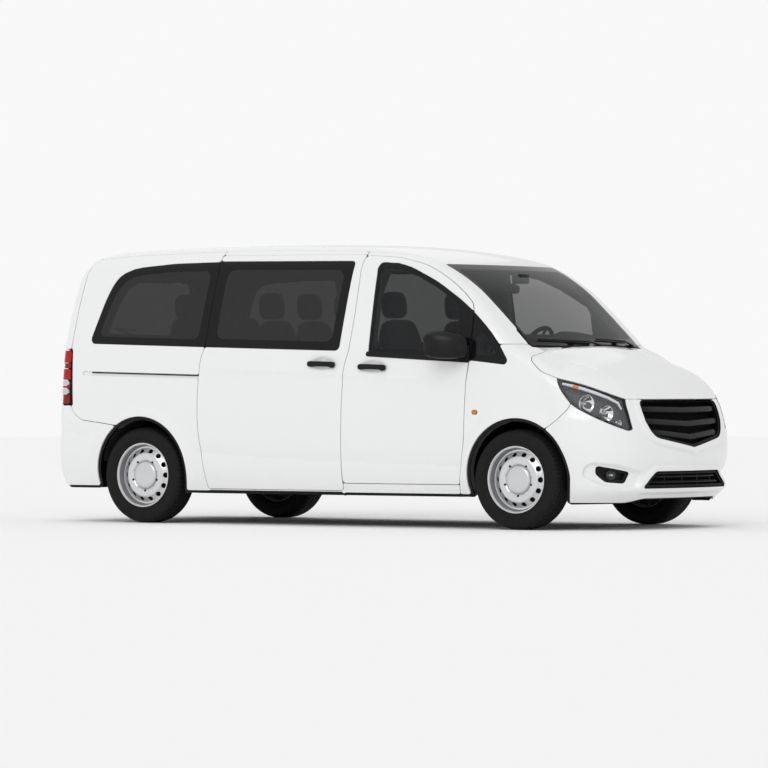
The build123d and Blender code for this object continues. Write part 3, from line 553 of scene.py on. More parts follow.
def core_ring(cell):
    """Runs of start points and level directions round the skeleton, counter-clockwise from above."""
    def run(a, b, da, db, length):
        n = max(2, round(length / cell))
        t = np.arange(n)[:, None] / n
        ang = np.radians(da + (db - da) * t[:, 0])
        return np.array(a) + (np.array(b) - a) * t, np.stack([np.cos(ang), np.sin(ang)], 1)

    fx, fy, rx, ry = CORE_FRONT_X, CORE_FRONT_Y, CORE_REAR_X, CORE_REAR_Y
    front_turn, rear_turn = 1.05, 0.42  # length of the skin round a front and a rear corner
    return [
        run((fx, -fy), (fx, fy), 0, 0, 2 * fy),
        run((fx, fy), (fx, fy), 0, 90, front_turn),
        run((fx, fy), (rx, ry), 90, 90, fx - rx),
        run((rx, ry), (rx, ry), 90, 180, rear_turn),
        run((rx, ry), (rx, -ry), 180, 180, 2 * ry),
        run((rx, -ry), (rx, -ry), 180, 270, rear_turn),
        run((rx, -ry), (fx, -fy), 270, 270, fx - rx),
        run((fx, -fy), (fx, -fy), 270, 360, front_turn),
    ]


def cast(start, direction):
    """Where rays leave the body's form."""
    low = np.zeros(len(start))
    high = np.full(len(start), 2.2)
    for _ in range(30):  # halves the range each time
        mid = (low + high) / 2
        outside = body_form(*(start + direction * mid[:, None]).T) > 0
        high = np.where(outside, mid, high)
        low = np.where(outside, low, mid)
    return start + direction * low[:, None]


class Skin:
    """The whole outer surface as a grid of points, unit normals and faces."""

    def __init__(self, cell):
        self.runs = core_ring(cell)
        self.base = np.concatenate([run[0] for run in self.runs])
        starts, ways = self.walls(np.concatenate([run[1] for run in self.runs]), cell)
        extra, row = self.top()
        starts.append(np.column_stack([extra, np.full(len(extra), CORE_Z)]))
        ways.append(np.tile([0.0, 0.0, 1.0], (len(extra), 1)))
        self.tail_strip(row)
        self.place(np.concatenate(starts), np.concatenate(ways))

    def ring_start(self, run):
        """How many points of a ring come before one of its runs."""
        return sum(len(points) for points, _ in self.runs[:run])

    def walls(self, level, cell):
        """Rays that run out level from the sides of the skeleton, then fan upward from its top edge."""
        count = len(self.base)
        skirt = max(2, round((CORE_Z - SKIRT_Z) / cell))
        fan = max(8, round(1.75 / cell))
        starts, ways = [], []
        for i in range(skirt):
            z = np.full(count, SKIRT_Z + (CORE_Z - SKIRT_Z) * i / skirt)
            starts.append(np.column_stack([self.base, z]))
            ways.append(np.column_stack([level, np.zeros(count)]))
        for i in range(fan + 1):
            t = math.pi / 2 * i / fan
            starts.append(np.column_stack([self.base, np.full(count, CORE_Z)]))
            ways.append(np.column_stack([level * math.cos(t), np.full(count, math.sin(t))]))
        self.last = (skirt + fan) * count  # index of the uppermost ring's first point
        self.faces = []
        for i in range(skirt + fan):
            for j in range(count):
                k = (j + 1) % count
                self.faces.append((i * count + j, i * count + k, (i + 1) * count + k, (i + 1) * count + j))
        return starts, ways

    def top(self):
        """Fills the flat top between its left and right edges. Gives its new points and its rearmost row."""
        along, nose, count = len(self.runs[2][0]), len(self.runs[0][0]), len(self.base)
        left, right = self.ring_start(2), self.ring_start(6)
        index = np.zeros((along + 1, nose + 1), int)
        extra = []
        for a in range(along + 1):
            left_edge, right_edge = left + a, (right + along - a) % count
            index[a, nose], index[a, 0] = self.last + left_edge, self.last + right_edge
            p, q = self.base[right_edge], self.base[left_edge]
            for b in range(1, nose):
                if a == 0:
                    index[a, b] = self.last + b
                else:
                    index[a, b] = self.last + count + len(extra)
                    extra.append(p + (q - p) * b / nose)
        for a in range(along):
            for b in range(nose):
                self.faces.append((index[a, b], index[a, b + 1], index[a + 1, b + 1], index[a + 1, b]))
        return np.array(extra), [int(v) for v in index[along][::-1]]

    def tail_strip(self, row):
        """Joins the top's rearmost row to the ring over the tail, which has more points."""
        first = self.last + self.ring_start(4)
        ring = [first + i for i in range(len(self.runs[4][0]) + 1)]
        ends = len(ring) - 1, len(row) - 1
        i = j = 0
        while i < ends[0] or j < ends[1]:
            if j == ends[1] or (i < ends[0] and (i + 1) / ends[0] <= (j + 1) / ends[1]):
                self.faces.append((ring[i], ring[i + 1], row[j]))
                i += 1
            else:
                self.faces.append((ring[i], row[j + 1], row[j]))
                j += 1

    def place(self, starts, ways):
        """Finds the points, their normals, and two directions along the surface at each."""
        self.points = cast(starts, ways)
        self.normals = slopes(self.points)
        n = self.normals
        up = np.where(np.abs(n[:, 2:]) > 0.9, [[1.0, 0, 0]], [[0, 0, 1.0]])
        t1 = np.cross(up, n)
        self.t1 = t1 / np.linalg.norm(t1, axis=1, keepdims=True)
        self.t2 = np.cross(n, self.t1)

    def measure(self, field):
        """A field as the distance along the surface, near its edge."""
        f = field(self.points)
        near = np.abs(f) < 0.05
        step = 0.0005
        q, value = self.points[near], f[near]
        across = np.hypot(*((field(q + step * way[near]) - value) / step for way in (self.t1, self.t2)))
        f[near] = value / np.clip(across, 0.25, 1.5)
        return f


class NosePatch(Skin):
    """A finer grid of the nose alone, for its lips and recesses."""

    def __init__(self, cell):
        runs = core_ring(cell)
        base, level = (np.concatenate([run[part] for run in (runs[7], runs[0], runs[1])]) for part in (0, 1))
        rows, count = round((NOSE_TOP_Z - SKIRT_Z) / cell), len(base)
        heights = np.repeat(SKIRT_Z + (NOSE_TOP_Z - SKIRT_Z) * np.arange(rows + 1) / rows, count)
        starts = np.column_stack([np.tile(base, (rows + 1, 1)), heights])
        ways = np.column_stack([np.tile(level, (rows + 1, 1)), np.zeros(len(heights))])
        self.faces = [(i * count + j, i * count + j + 1, (i + 1) * count + j + 1, (i + 1) * count + j)
                      for i in range(rows) for j in range(count - 1)]
        self.place(starts, ways)


FINE = Skin(CELL)
NOSE = NosePatch(CELL / 2)
COARSE = Skin(max(CELL, 0.034))


# ---- meshes ------------------------------------------------------------------
class Shape:
    """Points, normals and faces, each face with the index of its material."""

    def __init__(self):
        self.points, self.normals, self.faces, self.slots = [], [], [], []

    def add(self, points, normals, faces, slot=0):
        start = len(self.points)
        self.points.extend(map(tuple, points))
        self.normals.extend(map(tuple, normals if normals is not None else ()))
        self.faces.extend(tuple(start + i for i in face) for face in faces)
        self.slots.extend([slot] * len(faces))
        return self

    def join(self, other):
        start = len(self.points)
        self.points.extend(other.points)
        self.normals.extend(other.normals)
        self.faces.extend(tuple(start + i for i in face) for face in other.faces)
        self.slots.extend(other.slots)
        return self

    def mirrored(self):
        other = Shape()
        other.points = [(x, -y, z) for x, y, z in self.points]
        other.normals = [(x, -y, z) for x, y, z in self.normals]
        other.faces = [tuple(reversed(face)) for face in self.faces]
        other.slots = list(self.slots)
        return other

    def both(self):
        """With its mirror image on the vehicle's other side."""
        return self.join(self.mirrored())

    def moved(self, matrix):
        other = Shape()
        turn = matrix.to_3x3()
        other.points = [tuple(matrix @ Vector(p)) for p in self.points]
        other.normals = [tuple((turn @ Vector(n)).normalized()) for n in self.normals]
        other.faces = list(self.faces)
        if turn.determinant() < 0:
            other.faces = [tuple(reversed(face)) for face in self.faces]
        other.slots = list(self.slots)
        return other

    def recoloured(self, slot):
        """With one material slot for every face."""
        self.slots = [slot] * len(self.faces)
        return self


def clip(skin, f):
    """The part of the skin where f < 0, cut exactly along f = 0."""
    inside = f < 0
    sizes = np.array([len(face) for face in skin.faces])
    quads = np.array([face if len(face) == 4 else (*face, face[2]) for face in skin.faces])
    count = inside[quads].sum(1)
    whole = np.nonzero(count == 4)[0]
    part = np.nonzero((count > 0) & (count < 4))[0]
    index, points, normals, faces, cuts = {}, [], [], [], {}

    def keep(i):
        if i not in index:
            index[i] = len(points)
            points.append(skin.points[i])
            normals.append(skin.normals[i])
        return index[i]

    def between(i, j):
        key = (i, j) if i < j else (j, i)
        if key not in cuts:
            a, b = key
            t = f[a] / (f[a] - f[b])
            cuts[key] = len(points)
            points.append(skin.points[a] * (1 - t) + skin.points[b] * t)
            n = skin.normals[a] * (1 - t) + skin.normals[b] * t
            normals.append(n / np.linalg.norm(n))
        return cuts[key]

    for k in whole:
        face = quads[k][:sizes[k]]
        faces.append(tuple(keep(int(i)) for i in face))
    for k in part:
        face = [int(i) for i in quads[k][:sizes[k]]]
        cut = []
        for i, j in zip(face, face[1:] + face[:1]):
            if inside[i]:
                cut.append(keep(i))
            if inside[i] != inside[j]:
                cut.append(between(i, j))
        if len(cut) > 2:
            faces.append(tuple(cut))
    return np.array(points).reshape(-1, 3), np.array(normals).reshape(-1, 3), faces


def border(faces):
    """Edges that belong to one face, directed with it."""
    seen = {}
    for face in faces:
        for a, b in zip(face, face[1:] + face[:1]):
            seen[(a, b)] = True
    return [(a, b) for a, b in seen if (b, a) not in seen]


def rolled(points, normals, faces, profile):
    """Adds a rim: rings that follow the border, each (outward, inward, normal's turn in degrees, slot)."""
    edges = border(faces)
    out = np.zeros_like(points)
    for a, b in edges:
        way = np.cross(points[b] - points[a], normals[a] + normals[b])
        out[a] += way
        out[b] += way
    rim = sorted({i for edge in edges for i in edge})
    place = {i: k for k, i in enumerate(rim)}
    o = out[rim]
    n = normals[rim]
    o = o - (o * n).sum(1, keepdims=True) * n
    o /= np.maximum(np.linalg.norm(o, axis=1, keepdims=True), 1e-12)
    shape = Shape().add(points, normals, faces)
    start = len(points)
    previous = [i for i in rim]
    for outward, inward, turn, slot in profile:
        c, s = math.cos(math.radians(turn)), math.sin(math.radians(turn))
        shape.points.extend(map(tuple, points[rim] + o * outward - n * inward))
        shape.normals.extend(map(tuple, n * c + o * s))
        for a, b in edges:
            ka, kb = place[a], place[b]
            shape.faces.append((previous[ka], start + ka, start + kb, previous[kb]))
            shape.slots.append(slot)
        previous = [start + k for k in range(len(rim))]
        start += len(rim)
    return shape


EDGE = 0.0028  # rounding of a panel's edge
PANE_DEPTH = 0.0005  # glass below the form's surface
PANEL = 0.012  # depth of a panel's turned edge
SKIN_SLOT, FLANGE_SLOT, LINING_SLOT = 0, 1, 2


def quarter_round(edge, angles=(30, 60, 90)):
    """Rim rings that turn a surface's border through a quarter circle."""
    turns = [(math.sin(math.radians(a)), 1 - math.cos(math.radians(a)), a) for a in angles]
    return [(edge * out, edge * down, a, SKIN_SLOT) for out, down, a in turns]


def panel(field, gap=0.0045, flange=0.022, depth=PANEL, edge=EDGE, skin=None):
    """An outer panel: its skin, a rounded turned edge, and a flange under its neighbours in seal black, which
    also stands as painted shade in the gaps.
    """
    skin = skin or FINE
    points, normals, faces = clip(skin, skin.measure(field) + gap / 2 + edge)
    profile = [*quarter_round(edge), (edge, depth, 90, SKIN_SLOT)]
    # the flange takes the seal black, which paints the shade seen in the panel gaps
    if flange:
        profile += [(edge, depth, 0, FLANGE_SLOT), (edge + flange, depth, 0, FLANGE_SLOT)]
    return rolled(points, normals, faces, profile)


def lining(field, depth=WALL, reach=0.045, gap=0.0):
    """The inside of a wall, with reveals that reach out toward the skin."""
    points, normals, faces = clip(COARSE, COARSE.measure(field) + gap)
    reveal = [(0.0, 0.0, -90, LINING_SLOT), (0.0, -reach, -90, LINING_SLOT)]
    shape = rolled(points - normals * depth, normals, faces, reveal)
    flipped = Shape()
    flipped.points = shape.points
    flipped.normals = [tuple(-c for c in n) for n in shape.normals]
    flipped.faces = [tuple(reversed(face)) for face in shape.faces]
    return flipped.recoloured(LINING_SLOT)


def bowl(field, depth, lip, slot=0, skin=None):
    """A recess: a floor at a depth below the form, with walls up to the lip."""
    skin = skin or FINE
    points, normals, faces = clip(skin, skin.measure(field))
    walls = [(0, 0, -90, slot), (0, lip - depth, -90, slot)]
    return rolled(points - normals * depth, normals, faces, walls).recoloured(slot)


def sheet(field, depth, slot=0, grow=0.0, edge=0.0):
    """A thin layer of the form, such as glass, at a depth below the surface."""
    points, normals, faces = clip(FINE, FINE.measure(field) - grow)
    profile = [(edge, 0.001, 60, slot), (edge, 0.004, 90, slot)] if edge else []
    return rolled(points - normals * depth, normals, faces, profile).recoloured(slot)


def raised(field, height):
    """A strip that stands a little proud of the form."""
    edge = 0.002
    points, normals, faces = clip(FINE, FINE.measure(field))
    profile = [*quarter_round(edge, (45, 90)), (edge, height + 0.002, 90, SKIN_SLOT)]
    return rolled(points + normals * height, normals, faces, profile)


def sided(shape, sign):
    """A shape of the right side, or its mirror image for the left."""
    return shape if sign < 0 else shape.mirrored()


def build(name, shape, materials, body, replaces=()):
    """Makes the object from a shape, and tells the frame where it belongs."""
    mesh = bpy.data.meshes.new(name)
    mesh.from_pydata([tuple(map(float, p)) for p in shape.points], [],
                     [tuple(map(int, f)) for f in shape.faces])
    for material in materials:
        mesh.materials.append(material)
    mesh.polygons.foreach_set("material_index", np.array(shape.slots, dtype=np.int32))
    mesh.polygons.foreach_set("use_smooth", np.ones(len(mesh.polygons), bool))
    mesh.update()
    if shape.normals:
        n = np.array(shape.normals, float)
        n /= np.maximum(np.linalg.norm(n, axis=1, keepdims=True), 1e-9)
        mesh.normals_split_custom_set_from_vertices(n.tolist())
    else:
        made = bmesh.new()
        made.from_mesh(mesh)
        bmesh.ops.recalc_face_normals(made, faces=made.faces)
        made.to_mesh(mesh)
        made.free()
        mesh.set_sharp_from_angle(angle=math.radians(38))
    thing = bpy.data.objects.new(name, mesh)
    bpy.context.scene.collection.objects.link(thing)
    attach(thing, body)
    if replaces:
        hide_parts(*replaces)
    return thing


def loft(rings, caps=True, closed=False, slot=0):
    """Skin over closed rings that have the same number of points."""
    n = len(rings[0])
    points = [p for ring in rings for p in ring]
    faces = []
    for i in range(len(rings) if closed else len(rings) - 1):
        a, b = i * n, (i + 1) % len(rings) * n
        faces += [(a + j, a + (j + 1) % n, b + (j + 1) % n, b + j) for j in range(n)]
    if caps and not closed:
        faces += [tuple(range(n)), tuple((len(rings) - 1) * n + j for j in reversed(range(n)))]
    return Shape().add(points, None, faces, slot)


def lathe(profile, steps=96, slot=0):
    """A round shape about the Y axis from a profile of (radius, y)."""
    angles = [2 * math.pi * i / steps for i in range(steps)]
    rings = [[(r * math.cos(a), y, r * math.sin(a)) for a in angles] for r, y in profile]
    return loft(rings, False, slot=slot)


def block(x0, x1, y0, y1, z0, z1, r=0.004, n=3, slot=0):
    """A box with every edge rounded."""
    r = min(r, (x1 - x0) / 2.01, (y1 - y0) / 2.01, (z1 - z0) / 2.01)
    corners = ((x1 - r, y1 - r), (x0 + r, y1 - r), (x0 + r, y0 + r), (x1 - r, y0 + r))
    turns = [(cx, cy, math.pi / 2 * (q + j / n)) for q, (cx, cy) in enumerate(corners) for j in range(n + 1)]
    rings = []
    for up, z in ((-1, z0 + r), (1, z1 - r)):
        for i in range(n + 1):
            lift = up * math.pi / 2 * (i / n if up > 0 else 1 - i / n)
            c, h = r * math.cos(lift), z + r * math.sin(lift)
            rings.append([(cx + c * math.cos(t), cy + c * math.sin(t), h) for cx, cy, t in turns])
    return loft(rings, slot=slot)


def rod(path, radius, steps=10, slot=0, closed=False, flat=1.0, up=(0, 0, 1)):
    """A round or flattened bar along a path; the radius may be one value or one for each point."""
    path = [Vector(p) for p in path]
    radii = radius if isinstance(radius, (list, tuple)) else [radius] * len(path)
    turns = [2 * math.pi * k / steps for k in range(steps)]
    rings = []
    for i, (p, r) in enumerate(zip(path, radii)):
        a = path[i - 1] if i or closed else p
        b = path[(i + 1) % len(path)] if i < len(path) - 1 or closed else p
        way = (b - a).normalized()
        side = way.cross(Vector(up))
        side = (side if side.length > 1e-4 else way.cross(Vector((0, 1, 0)))).normalized()
        rise = side.cross(way).normalized()
        rings.append([tuple(p + side * r * math.cos(t) + rise * r * flat * math.sin(t)) for t in turns])
    return loft(rings, not closed, closed, slot)


def bevelled(outline, low, high, r=0.004, slot=0, steps=3):
    """A plate: a closed (u, v) outline given thickness along w, with rounded edges."""
    def across(ways):
        """Each (u, v) direction turned a quarter, at length 1."""
        n = np.stack([ways[:, 1], -ways[:, 0]], 1)
        return n / np.maximum(np.linalg.norm(n, axis=1, keepdims=True), 1e-9)

    pts = np.array(outline, float)
    out = across(pts - np.roll(pts, 1, 0)) + across(np.roll(pts, -1, 0) - pts)
    out /= np.maximum(np.linalg.norm(out, axis=1, keepdims=True), 1e-9)
    if (pts[:, 0] * np.roll(pts[:, 1], -1) - pts[:, 1] * np.roll(pts[:, 0], -1)).sum() < 0:
        out = -out
    turns = [math.pi / 2 * i / steps for i in range(steps + 1)]
    rings = [[(u, v, low + r - r * math.cos(t)) for u, v in pts - out * r * (1 - math.sin(t))] for t in turns]
    rings += [[(u, v, high - r + r * math.sin(t)) for u, v in pts - out * r * (1 - math.cos(t))]
              for t in turns]
    return loft(rings, slot=slot)


def on_axes(shape, u, v, w, origin=(0, 0, 0)):
    """Places a shape drawn in (u, v, w) onto three directions."""
    m = Matrix([(*row, o) for row, o in zip(zip(u, v, w), origin)] + [(0, 0, 0, 1)])
    return shape.moved(m)


def surface(y=None, x=None, z=None):
    """The point of the form, seen across from the right side, or from ahead or behind, or from above."""
    if y is None:
        return cast(np.array([[x, 0.0, z]]), np.array([[0.0, -1.0, 0.0]]))[0]
    if x is None:
        return cast(np.array([[0.6, y, z]]), np.array([[1.0, 0.0, 0.0]]))[0]
    return cast(np.array([[x, y, 0.7]]), np.array([[0.0, 0.0, 1.0]]))[0]


# ---- outlines of the panels, (x, z, corner radius) seen from the side --------
# lines that neighbours share, so that their gaps stay even
B_LINE = (
    (0.104, 0.466, 0.5), (0.118, 0.72, 1.0), (0.130, 1.010, 0.3), (0.140, 1.12, 0.15), (0.172, 1.240, 0.15),
    (0.188, 1.45, 0.5), (0.195, 1.668, 0.8))
DOOR_FRONT_LINE = ((1.147, 0.990, 0.5), (1.129, 0.619, 0.8), (1.100, 0.437, 0.6))
BONNET_REAR_LINE = ((1.640, 1.235, 0.03), (1.639, 1.165, 0.10), (1.736, 1.082, 0.12))
BONNET_FRONT_LINE = ((2.231, 0.894), (2.700, 0.886))
LAMP_FOOT_LINE = ((1.770, 0.680), (1.878, 0.755, 0.15), (1.945, 0.815, 0.15), (1.971, 0.862))
TAIL_LINE = (
    (-2.205, 2.100), (-2.218, 1.930, 0.2), (-2.247, 1.788, 0.9), (-2.281, 1.533, 1.5), (-2.307, 1.242))
BUMPER_LINE = (
    (-1.560, 0.050), (-1.800, 0.690), (-1.95, 0.708, 0.5), (-2.190, 0.735, 0.06), (-2.268, 0.785, 0.06),
    (-2.290, 0.846))
FRONT_DOOR = rounded(
    (0.111, 0.302, 0.02), *B_LINE, (0.188, 1.900, 0.03), (0.477, 1.881, 0.6), (0.749, 1.823, 0.7),
    (0.943, 1.725, 0.9), (1.075, 1.628, 0.8), (1.160, 1.545, 0.09), (1.176, 1.440, 0.5),
    (1.170, 1.204, 0.5), *DOOR_FRONT_LINE, (1.076, 0.302, 0.02))
SLIDING_DOOR = rounded(
    (0.109, 0.250, 0.02), *B_LINE, (0.188, 1.905, 0.012), (-1.058, 1.914, 0.012), (-1.041, 1.800, 0.1),
    (-1.079, 1.263, 0.15), (-1.112, 1.180, 0.15), (-1.130, 0.982, 0.6), (-1.132, 0.692, 0.9),
    (-1.112, 0.530, 0.8), (-1.070, 0.250, 0.02))
RAIL_COVER = rounded((0.188, 1.904), (0.140, 1.990), (-1.040, 1.996), (-1.060, 1.913))
QUARTER_GLASS = rounded(
    (-2.138, 1.290, 0.035), (-1.000, 1.258), (-1.000, 1.866), (-1.453, 1.859, 1.5), (-1.821, 1.830, 0.5),
    (-1.960, 1.764, 0.25), (-2.035, 1.600, 0.6))
QUARTER_CLEAR = rounded(
    (-2.062, 1.340, 0.04), (-1.150, 1.314, 0.05), (-1.105, 1.803, 0.05), (-1.453, 1.801, 1.5),
    (-1.795, 1.774, 0.5), (-1.910, 1.716, 0.2), (-1.980, 1.575, 0.5))
SLIDING_GLASS = rounded(
    (-1.300, 1.266), (0.086, 1.230, 0.035), (0.130, 1.858, 0.035), (-1.300, 1.872))
SLIDING_CLEAR = rounded(
    (-0.990, 1.318, 0.06), (0.018, 1.290, 0.06), (0.060, 1.796, 0.06), (-0.955, 1.808, 0.06))
FRONT_GLASS = rounded(
    (0.340, 1.211, 0.02), (1.178, 1.160, 1.0), (1.494, 1.126, 0.025), (1.392, 1.280, 1.0),
    (1.282, 1.393, 1.5), (1.178, 1.486, 1.5), (1.070, 1.568, 1.5), (0.847, 1.704, 0.9), (0.614, 1.808, 0.6),
    (0.488, 1.838, 0.3), (0.336, 1.846, 0.03))
DOOR_CLEAR = rounded(
    (0.372, 1.248, 0.02), (1.058, 1.212, 0.02), (1.058, 1.535, 0.04), (0.847, 1.666, 0.9),
    (0.614, 1.772, 0.6), (0.480, 1.802, 0.3), (0.368, 1.808, 0.03))
LIGHT_CLEAR = rounded((1.216, 1.198, 0.02), (1.400, 1.184, 0.02), (1.216, 1.400, 0.03))
BONNET = rounded(
    (1.640, 1.500), *BONNET_REAR_LINE, (1.850, 1.038, 0.3), (2.019, 0.996, 1.0), (2.142, 0.942, 1.0),
    *BONNET_FRONT_LINE, (2.700, 1.500))
FENDER = rounded(
    (1.060, 0.100), (1.076, 0.302), *DOOR_FRONT_LINE[::-1], (1.166, 1.130, 0.5), (1.176, 1.270),
    (1.640, 1.270), *BONNET_REAR_LINE, (1.850, 1.038), *LAMP_FOOT_LINE[::-1], (1.770, 0.100))
HEADLAMP = rounded(
    (1.851, 1.034, 0.01), (2.019, 0.992, 1.0), (2.143, 0.938, 1.0), (2.231, 0.892, 0.01),
    (2.271, 0.790, 0.5), (2.304, 0.668, 0.012), (2.149, 0.755, 0.8), (1.985, 0.845, 0.2),
    (1.900, 0.945, 0.5))
FASCIA = rounded((1.770, 0.050), *LAMP_FOOT_LINE, *BONNET_FRONT_LINE, (2.700, 0.050))
TAILGATE_UP = rounded(*TAIL_LINE, (-2.700, 1.242), (-2.700, 2.100))
TAIL_LAMP = rounded(
    (-2.292, 1.248, 0.012), (-2.280, 0.960, 1.5), (-2.274, 0.842, 0.012), (-2.700, 0.842), (-2.700, 1.248))
REAR_BUMPER = rounded((-2.700, 0.050), *BUMPER_LINE, (-2.700, 0.846))
REAR_ZONE = rounded(*TAIL_LINE, *BUMPER_LINE[::-1], (-2.700, 0.050), (-2.700, 2.100))
RAIL_SLOT = rounded(
    (-2.185, 1.086, 0.006), (-1.100, 1.060), (-1.100, 1.036), (-2.185, 1.062, 0.006))

# the same seen from ahead, (y, z, corner radius)
SCREEN = rounded((-0.698, 1.262, 0.02), (0.698, 1.262, 0.02), (0.690, 1.830, 0.03), (-0.690, 1.830, 0.03))
SCREEN_CLEAR = rounded(
    (-0.672, 1.312, 0.04), (0.672, 1.312, 0.04), (0.664, 1.796, 0.05), (-0.664, 1.796, 0.05))
REAR_GLASS = rounded((-0.700, 1.300, 0.05), (0.700, 1.300, 0.05), (0.640, 1.800, 0.06), (-0.640, 1.800, 0.06))
REAR_CLEAR = rounded((-0.640, 1.360, 0.06), (0.640, 1.360, 0.06), (0.585, 1.745, 0.06), (-0.585, 1.745, 0.06))
LAMP_Y, GATE_FOOT_Z, ROOF_EDGE_Y = 0.800, 0.640, 0.690
ROOF_EDGE_Z = 1.70  # the roof's edges count only over this height
SCREEN_FOOT_Z, PILLAR = 1.262, 0.062


def side_view(outline):
    return lambda p: distance(outline, p[:, 0], p[:, 2])


def front_view(outline):
    return lambda p: distance(outline, p[:, 1], p[:, 2])


def within(*fields):
    """Inside all of the fields."""
    return lambda p: np.max([f(p) for f in fields], axis=0)


def either(*fields):
    """Inside any of the fields."""
    return lambda p: np.min([f(p) for f in fields], axis=0)


def outside(*fields):
    """Inside none of the fields."""
    return lambda p: -np.min([f(p) for f in fields], axis=0)


def beyond(axis, value):
    """Where the coordinate is over a value."""
    return lambda p: value - p[:, axis]


def before(axis, value):
    """Where the coordinate is under a value."""
    return lambda p: p[:, axis] - value


def inboard(value):
    """Nearer to the middle than a value, on either side."""
    return lambda p: np.abs(p[:, 1]) - value


def outboard(value, above=None):
    """Further from the middle than a value; everywhere below a height, where one is given."""
    if above is None:
        return lambda p: value - np.abs(p[:, 1])
    return lambda p: np.where(p[:, 2] > above, value - np.abs(p[:, 1]), -1.0)


def on_right(p):
    return p[:, 1]


def pillar_line(p):
    """Outboard of the pillar beside the windscreen."""
    edge = 0.706 - 0.095 * (p[:, 2] - SCREEN_FOOT_Z) + PILLAR
    return np.where(p[:, 2] > 1.255, edge - np.abs(p[:, 1]), -1.0)


def arches(p):
    """Inside a wheel arch's opening."""
    x, z = p[:, 0], p[:, 2]
    rear = np.hypot(x - REAR_AXLE_X, z - ARCH_Z) - ARCH_R
    front = np.hypot(x - FRONT_AXLE_X, z - ARCH_Z) - ARCH_R
    return np.minimum(front, rear)


def cowl_edge(p):
    """Behind the cowl's front edge, which follows the bonnet."""
    return p[:, 0] - (1.662 - 0.21 * p[:, 1] ** 2)


in_screen = within(front_view(SCREEN), beyond(0, 0.80), before(0, 1.645))
in_cowl = within(beyond(0, 1.42), cowl_edge, inboard(0.712), beyond(2, 1.13), outside(in_screen))
in_door = within(side_view(FRONT_DOOR), pillar_line)
in_sliding = side_view(SLIDING_DOOR)
in_rail_cover = side_view(RAIL_COVER)
in_bonnet = side_view(BONNET)
in_gate_foot = within(inboard(LAMP_Y), beyond(2, GATE_FOOT_Z), before(0, -2.25), before(2, 1.27))
in_gate = either(side_view(TAILGATE_UP), in_gate_foot)
in_tail_lamp = within(side_view(TAIL_LAMP), outboard(LAMP_Y))
in_rear_bumper = within(side_view(REAR_BUMPER), outside(in_gate_foot))
in_rear = either(side_view(REAR_ZONE), in_gate_foot)
in_roof = within(inboard(ROOF_EDGE_Y), beyond(2, ROOF_EDGE_Z), before(0, 1.10), outside(in_gate, in_screen))
in_headlamp = within(side_view(HEADLAMP), outboard(0.40))
in_grille = within(front_view(GRILLE), beyond(0, 2.0))
in_lower_grille = within(front_view(LOWER_GRILLE), beyond(0, 2.0))
in_fog = within(lambda p: distance(FOG, np.abs(p[:, 1]), p[:, 2]), beyond(0, 1.9))
in_fascia = side_view(FASCIA)
in_fender = within(side_view(FENDER), outside(in_cowl, in_screen, side_view(FRONT_GLASS)))


def bottom(p):
    """Above the lower edge of the body, which hangs lower at the nose's corners."""
    x, y = p[:, 0], np.abs(p[:, 1])
    nose = 0.186 + 0.028 * (1 - ease(y, 0.44, 0.60))
    low = np.where(x > 1.70, nose, 0.236 + 0.050 * ease(-x, 1.95, 2.40))
    return low - p[:, 2]


# ---- body skin ---------------------------------------------------------------
def side_frame():
    """Pillars, cant rail, sill and quarter panel of the right side."""
    slot_field = side_view(RAIL_SLOT)
    openings = outside(arches, in_door, in_sliding, in_rail_cover, in_rear, in_tail_lamp, in_fender,
                       in_fascia, in_bonnet, in_screen, in_cowl, side_view(QUARTER_GLASS),
                       side_view(FRONT_GLASS), slot_field)
    shape = panel(within(on_right, bottom, openings, outboard(ROOF_EDGE_Y, ROOF_EDGE_Z), before(0, 1.66)))
    shape.join(panel(within(on_right, in_rail_cover, outboard(ROOF_EDGE_Y)), 0.003))
    inner_openings = outside(arches, side_view(FRONT_DOOR), in_sliding, in_rear, in_fascia, in_bonnet,
                             in_screen, side_view(QUARTER_CLEAR), side_view(LIGHT_CLEAR))
    inner = within(on_right, bottom, inner_openings, before(0, 1.46), outboard(0.60, ROOF_EDGE_Z))
    shape.join(lining(inner, gap=-0.024))
    return shape.join(sheet(within(on_right, slot_field), 0.011, SKIN_SLOT, grow=0.003))


def front_door():
    """The right front door: its skin, and its lining, which ends behind the glass's black border."""
    shape = panel(within(on_right, in_door, outside(side_view(FRONT_GLASS))), flange=0.0)
    opening = side_view(DOOR_CLEAR)
    inner = within(on_right, in_door, lambda p: -0.018 - opening(p))
    return shape.join(lining(inner, gap=0.026))


def sliding_door():
    """The right sliding door: its skin and its lining."""
    shape = panel(within(on_right, in_sliding, outside(side_view(SLIDING_GLASS))), flange=0.0)
    inner = within(on_right, in_sliding, outside(side_view(SLIDING_CLEAR)))
    return shape.join(lining(inner, gap=0.026))


def side_skins():
    for name, make in (("side_frame", side_frame), ("front_door", front_door),
                       ("sliding_door", sliding_door)):
        right = make()
        for side, sign in SIDES:
            body = f"front_door_{side}" if name == "front_door" else "root"
            build(f"{name}_skin_{side}", sided(right, sign), [PAINT, SEAL_AND_GAP_SHADE, TRIM], body,
                  [f"{name}_{side}"])


def roof_skin():
    shape = panel(in_roof, 0.003).join(lining(in_roof, 0.045, 0.03))
    build("roof_skin", shape, [PAINT, SEAL_AND_GAP_SHADE, HEADLINER], "root", ["roof"])


def bonnet_skin():
    shape = panel(within(in_bonnet, outside(in_cowl, in_screen)), flange=0.0)
    shape.join(lining(in_bonnet, 0.022, 0.01, gap=0.02))
    build("bonnet_skin", shape, [PAINT, SEAL_AND_GAP_SHADE, BLACK], "bonnet", ["bonnet"])


def fender_skins():
    shape = panel(within(in_fender, bottom, outside(arches, in_headlamp), outboard(0.3)))
    build("fender_skins", shape, [PAINT, SEAL_AND_GAP_SHADE], "root",
          ["front_fender_right", "front_fender_left"])


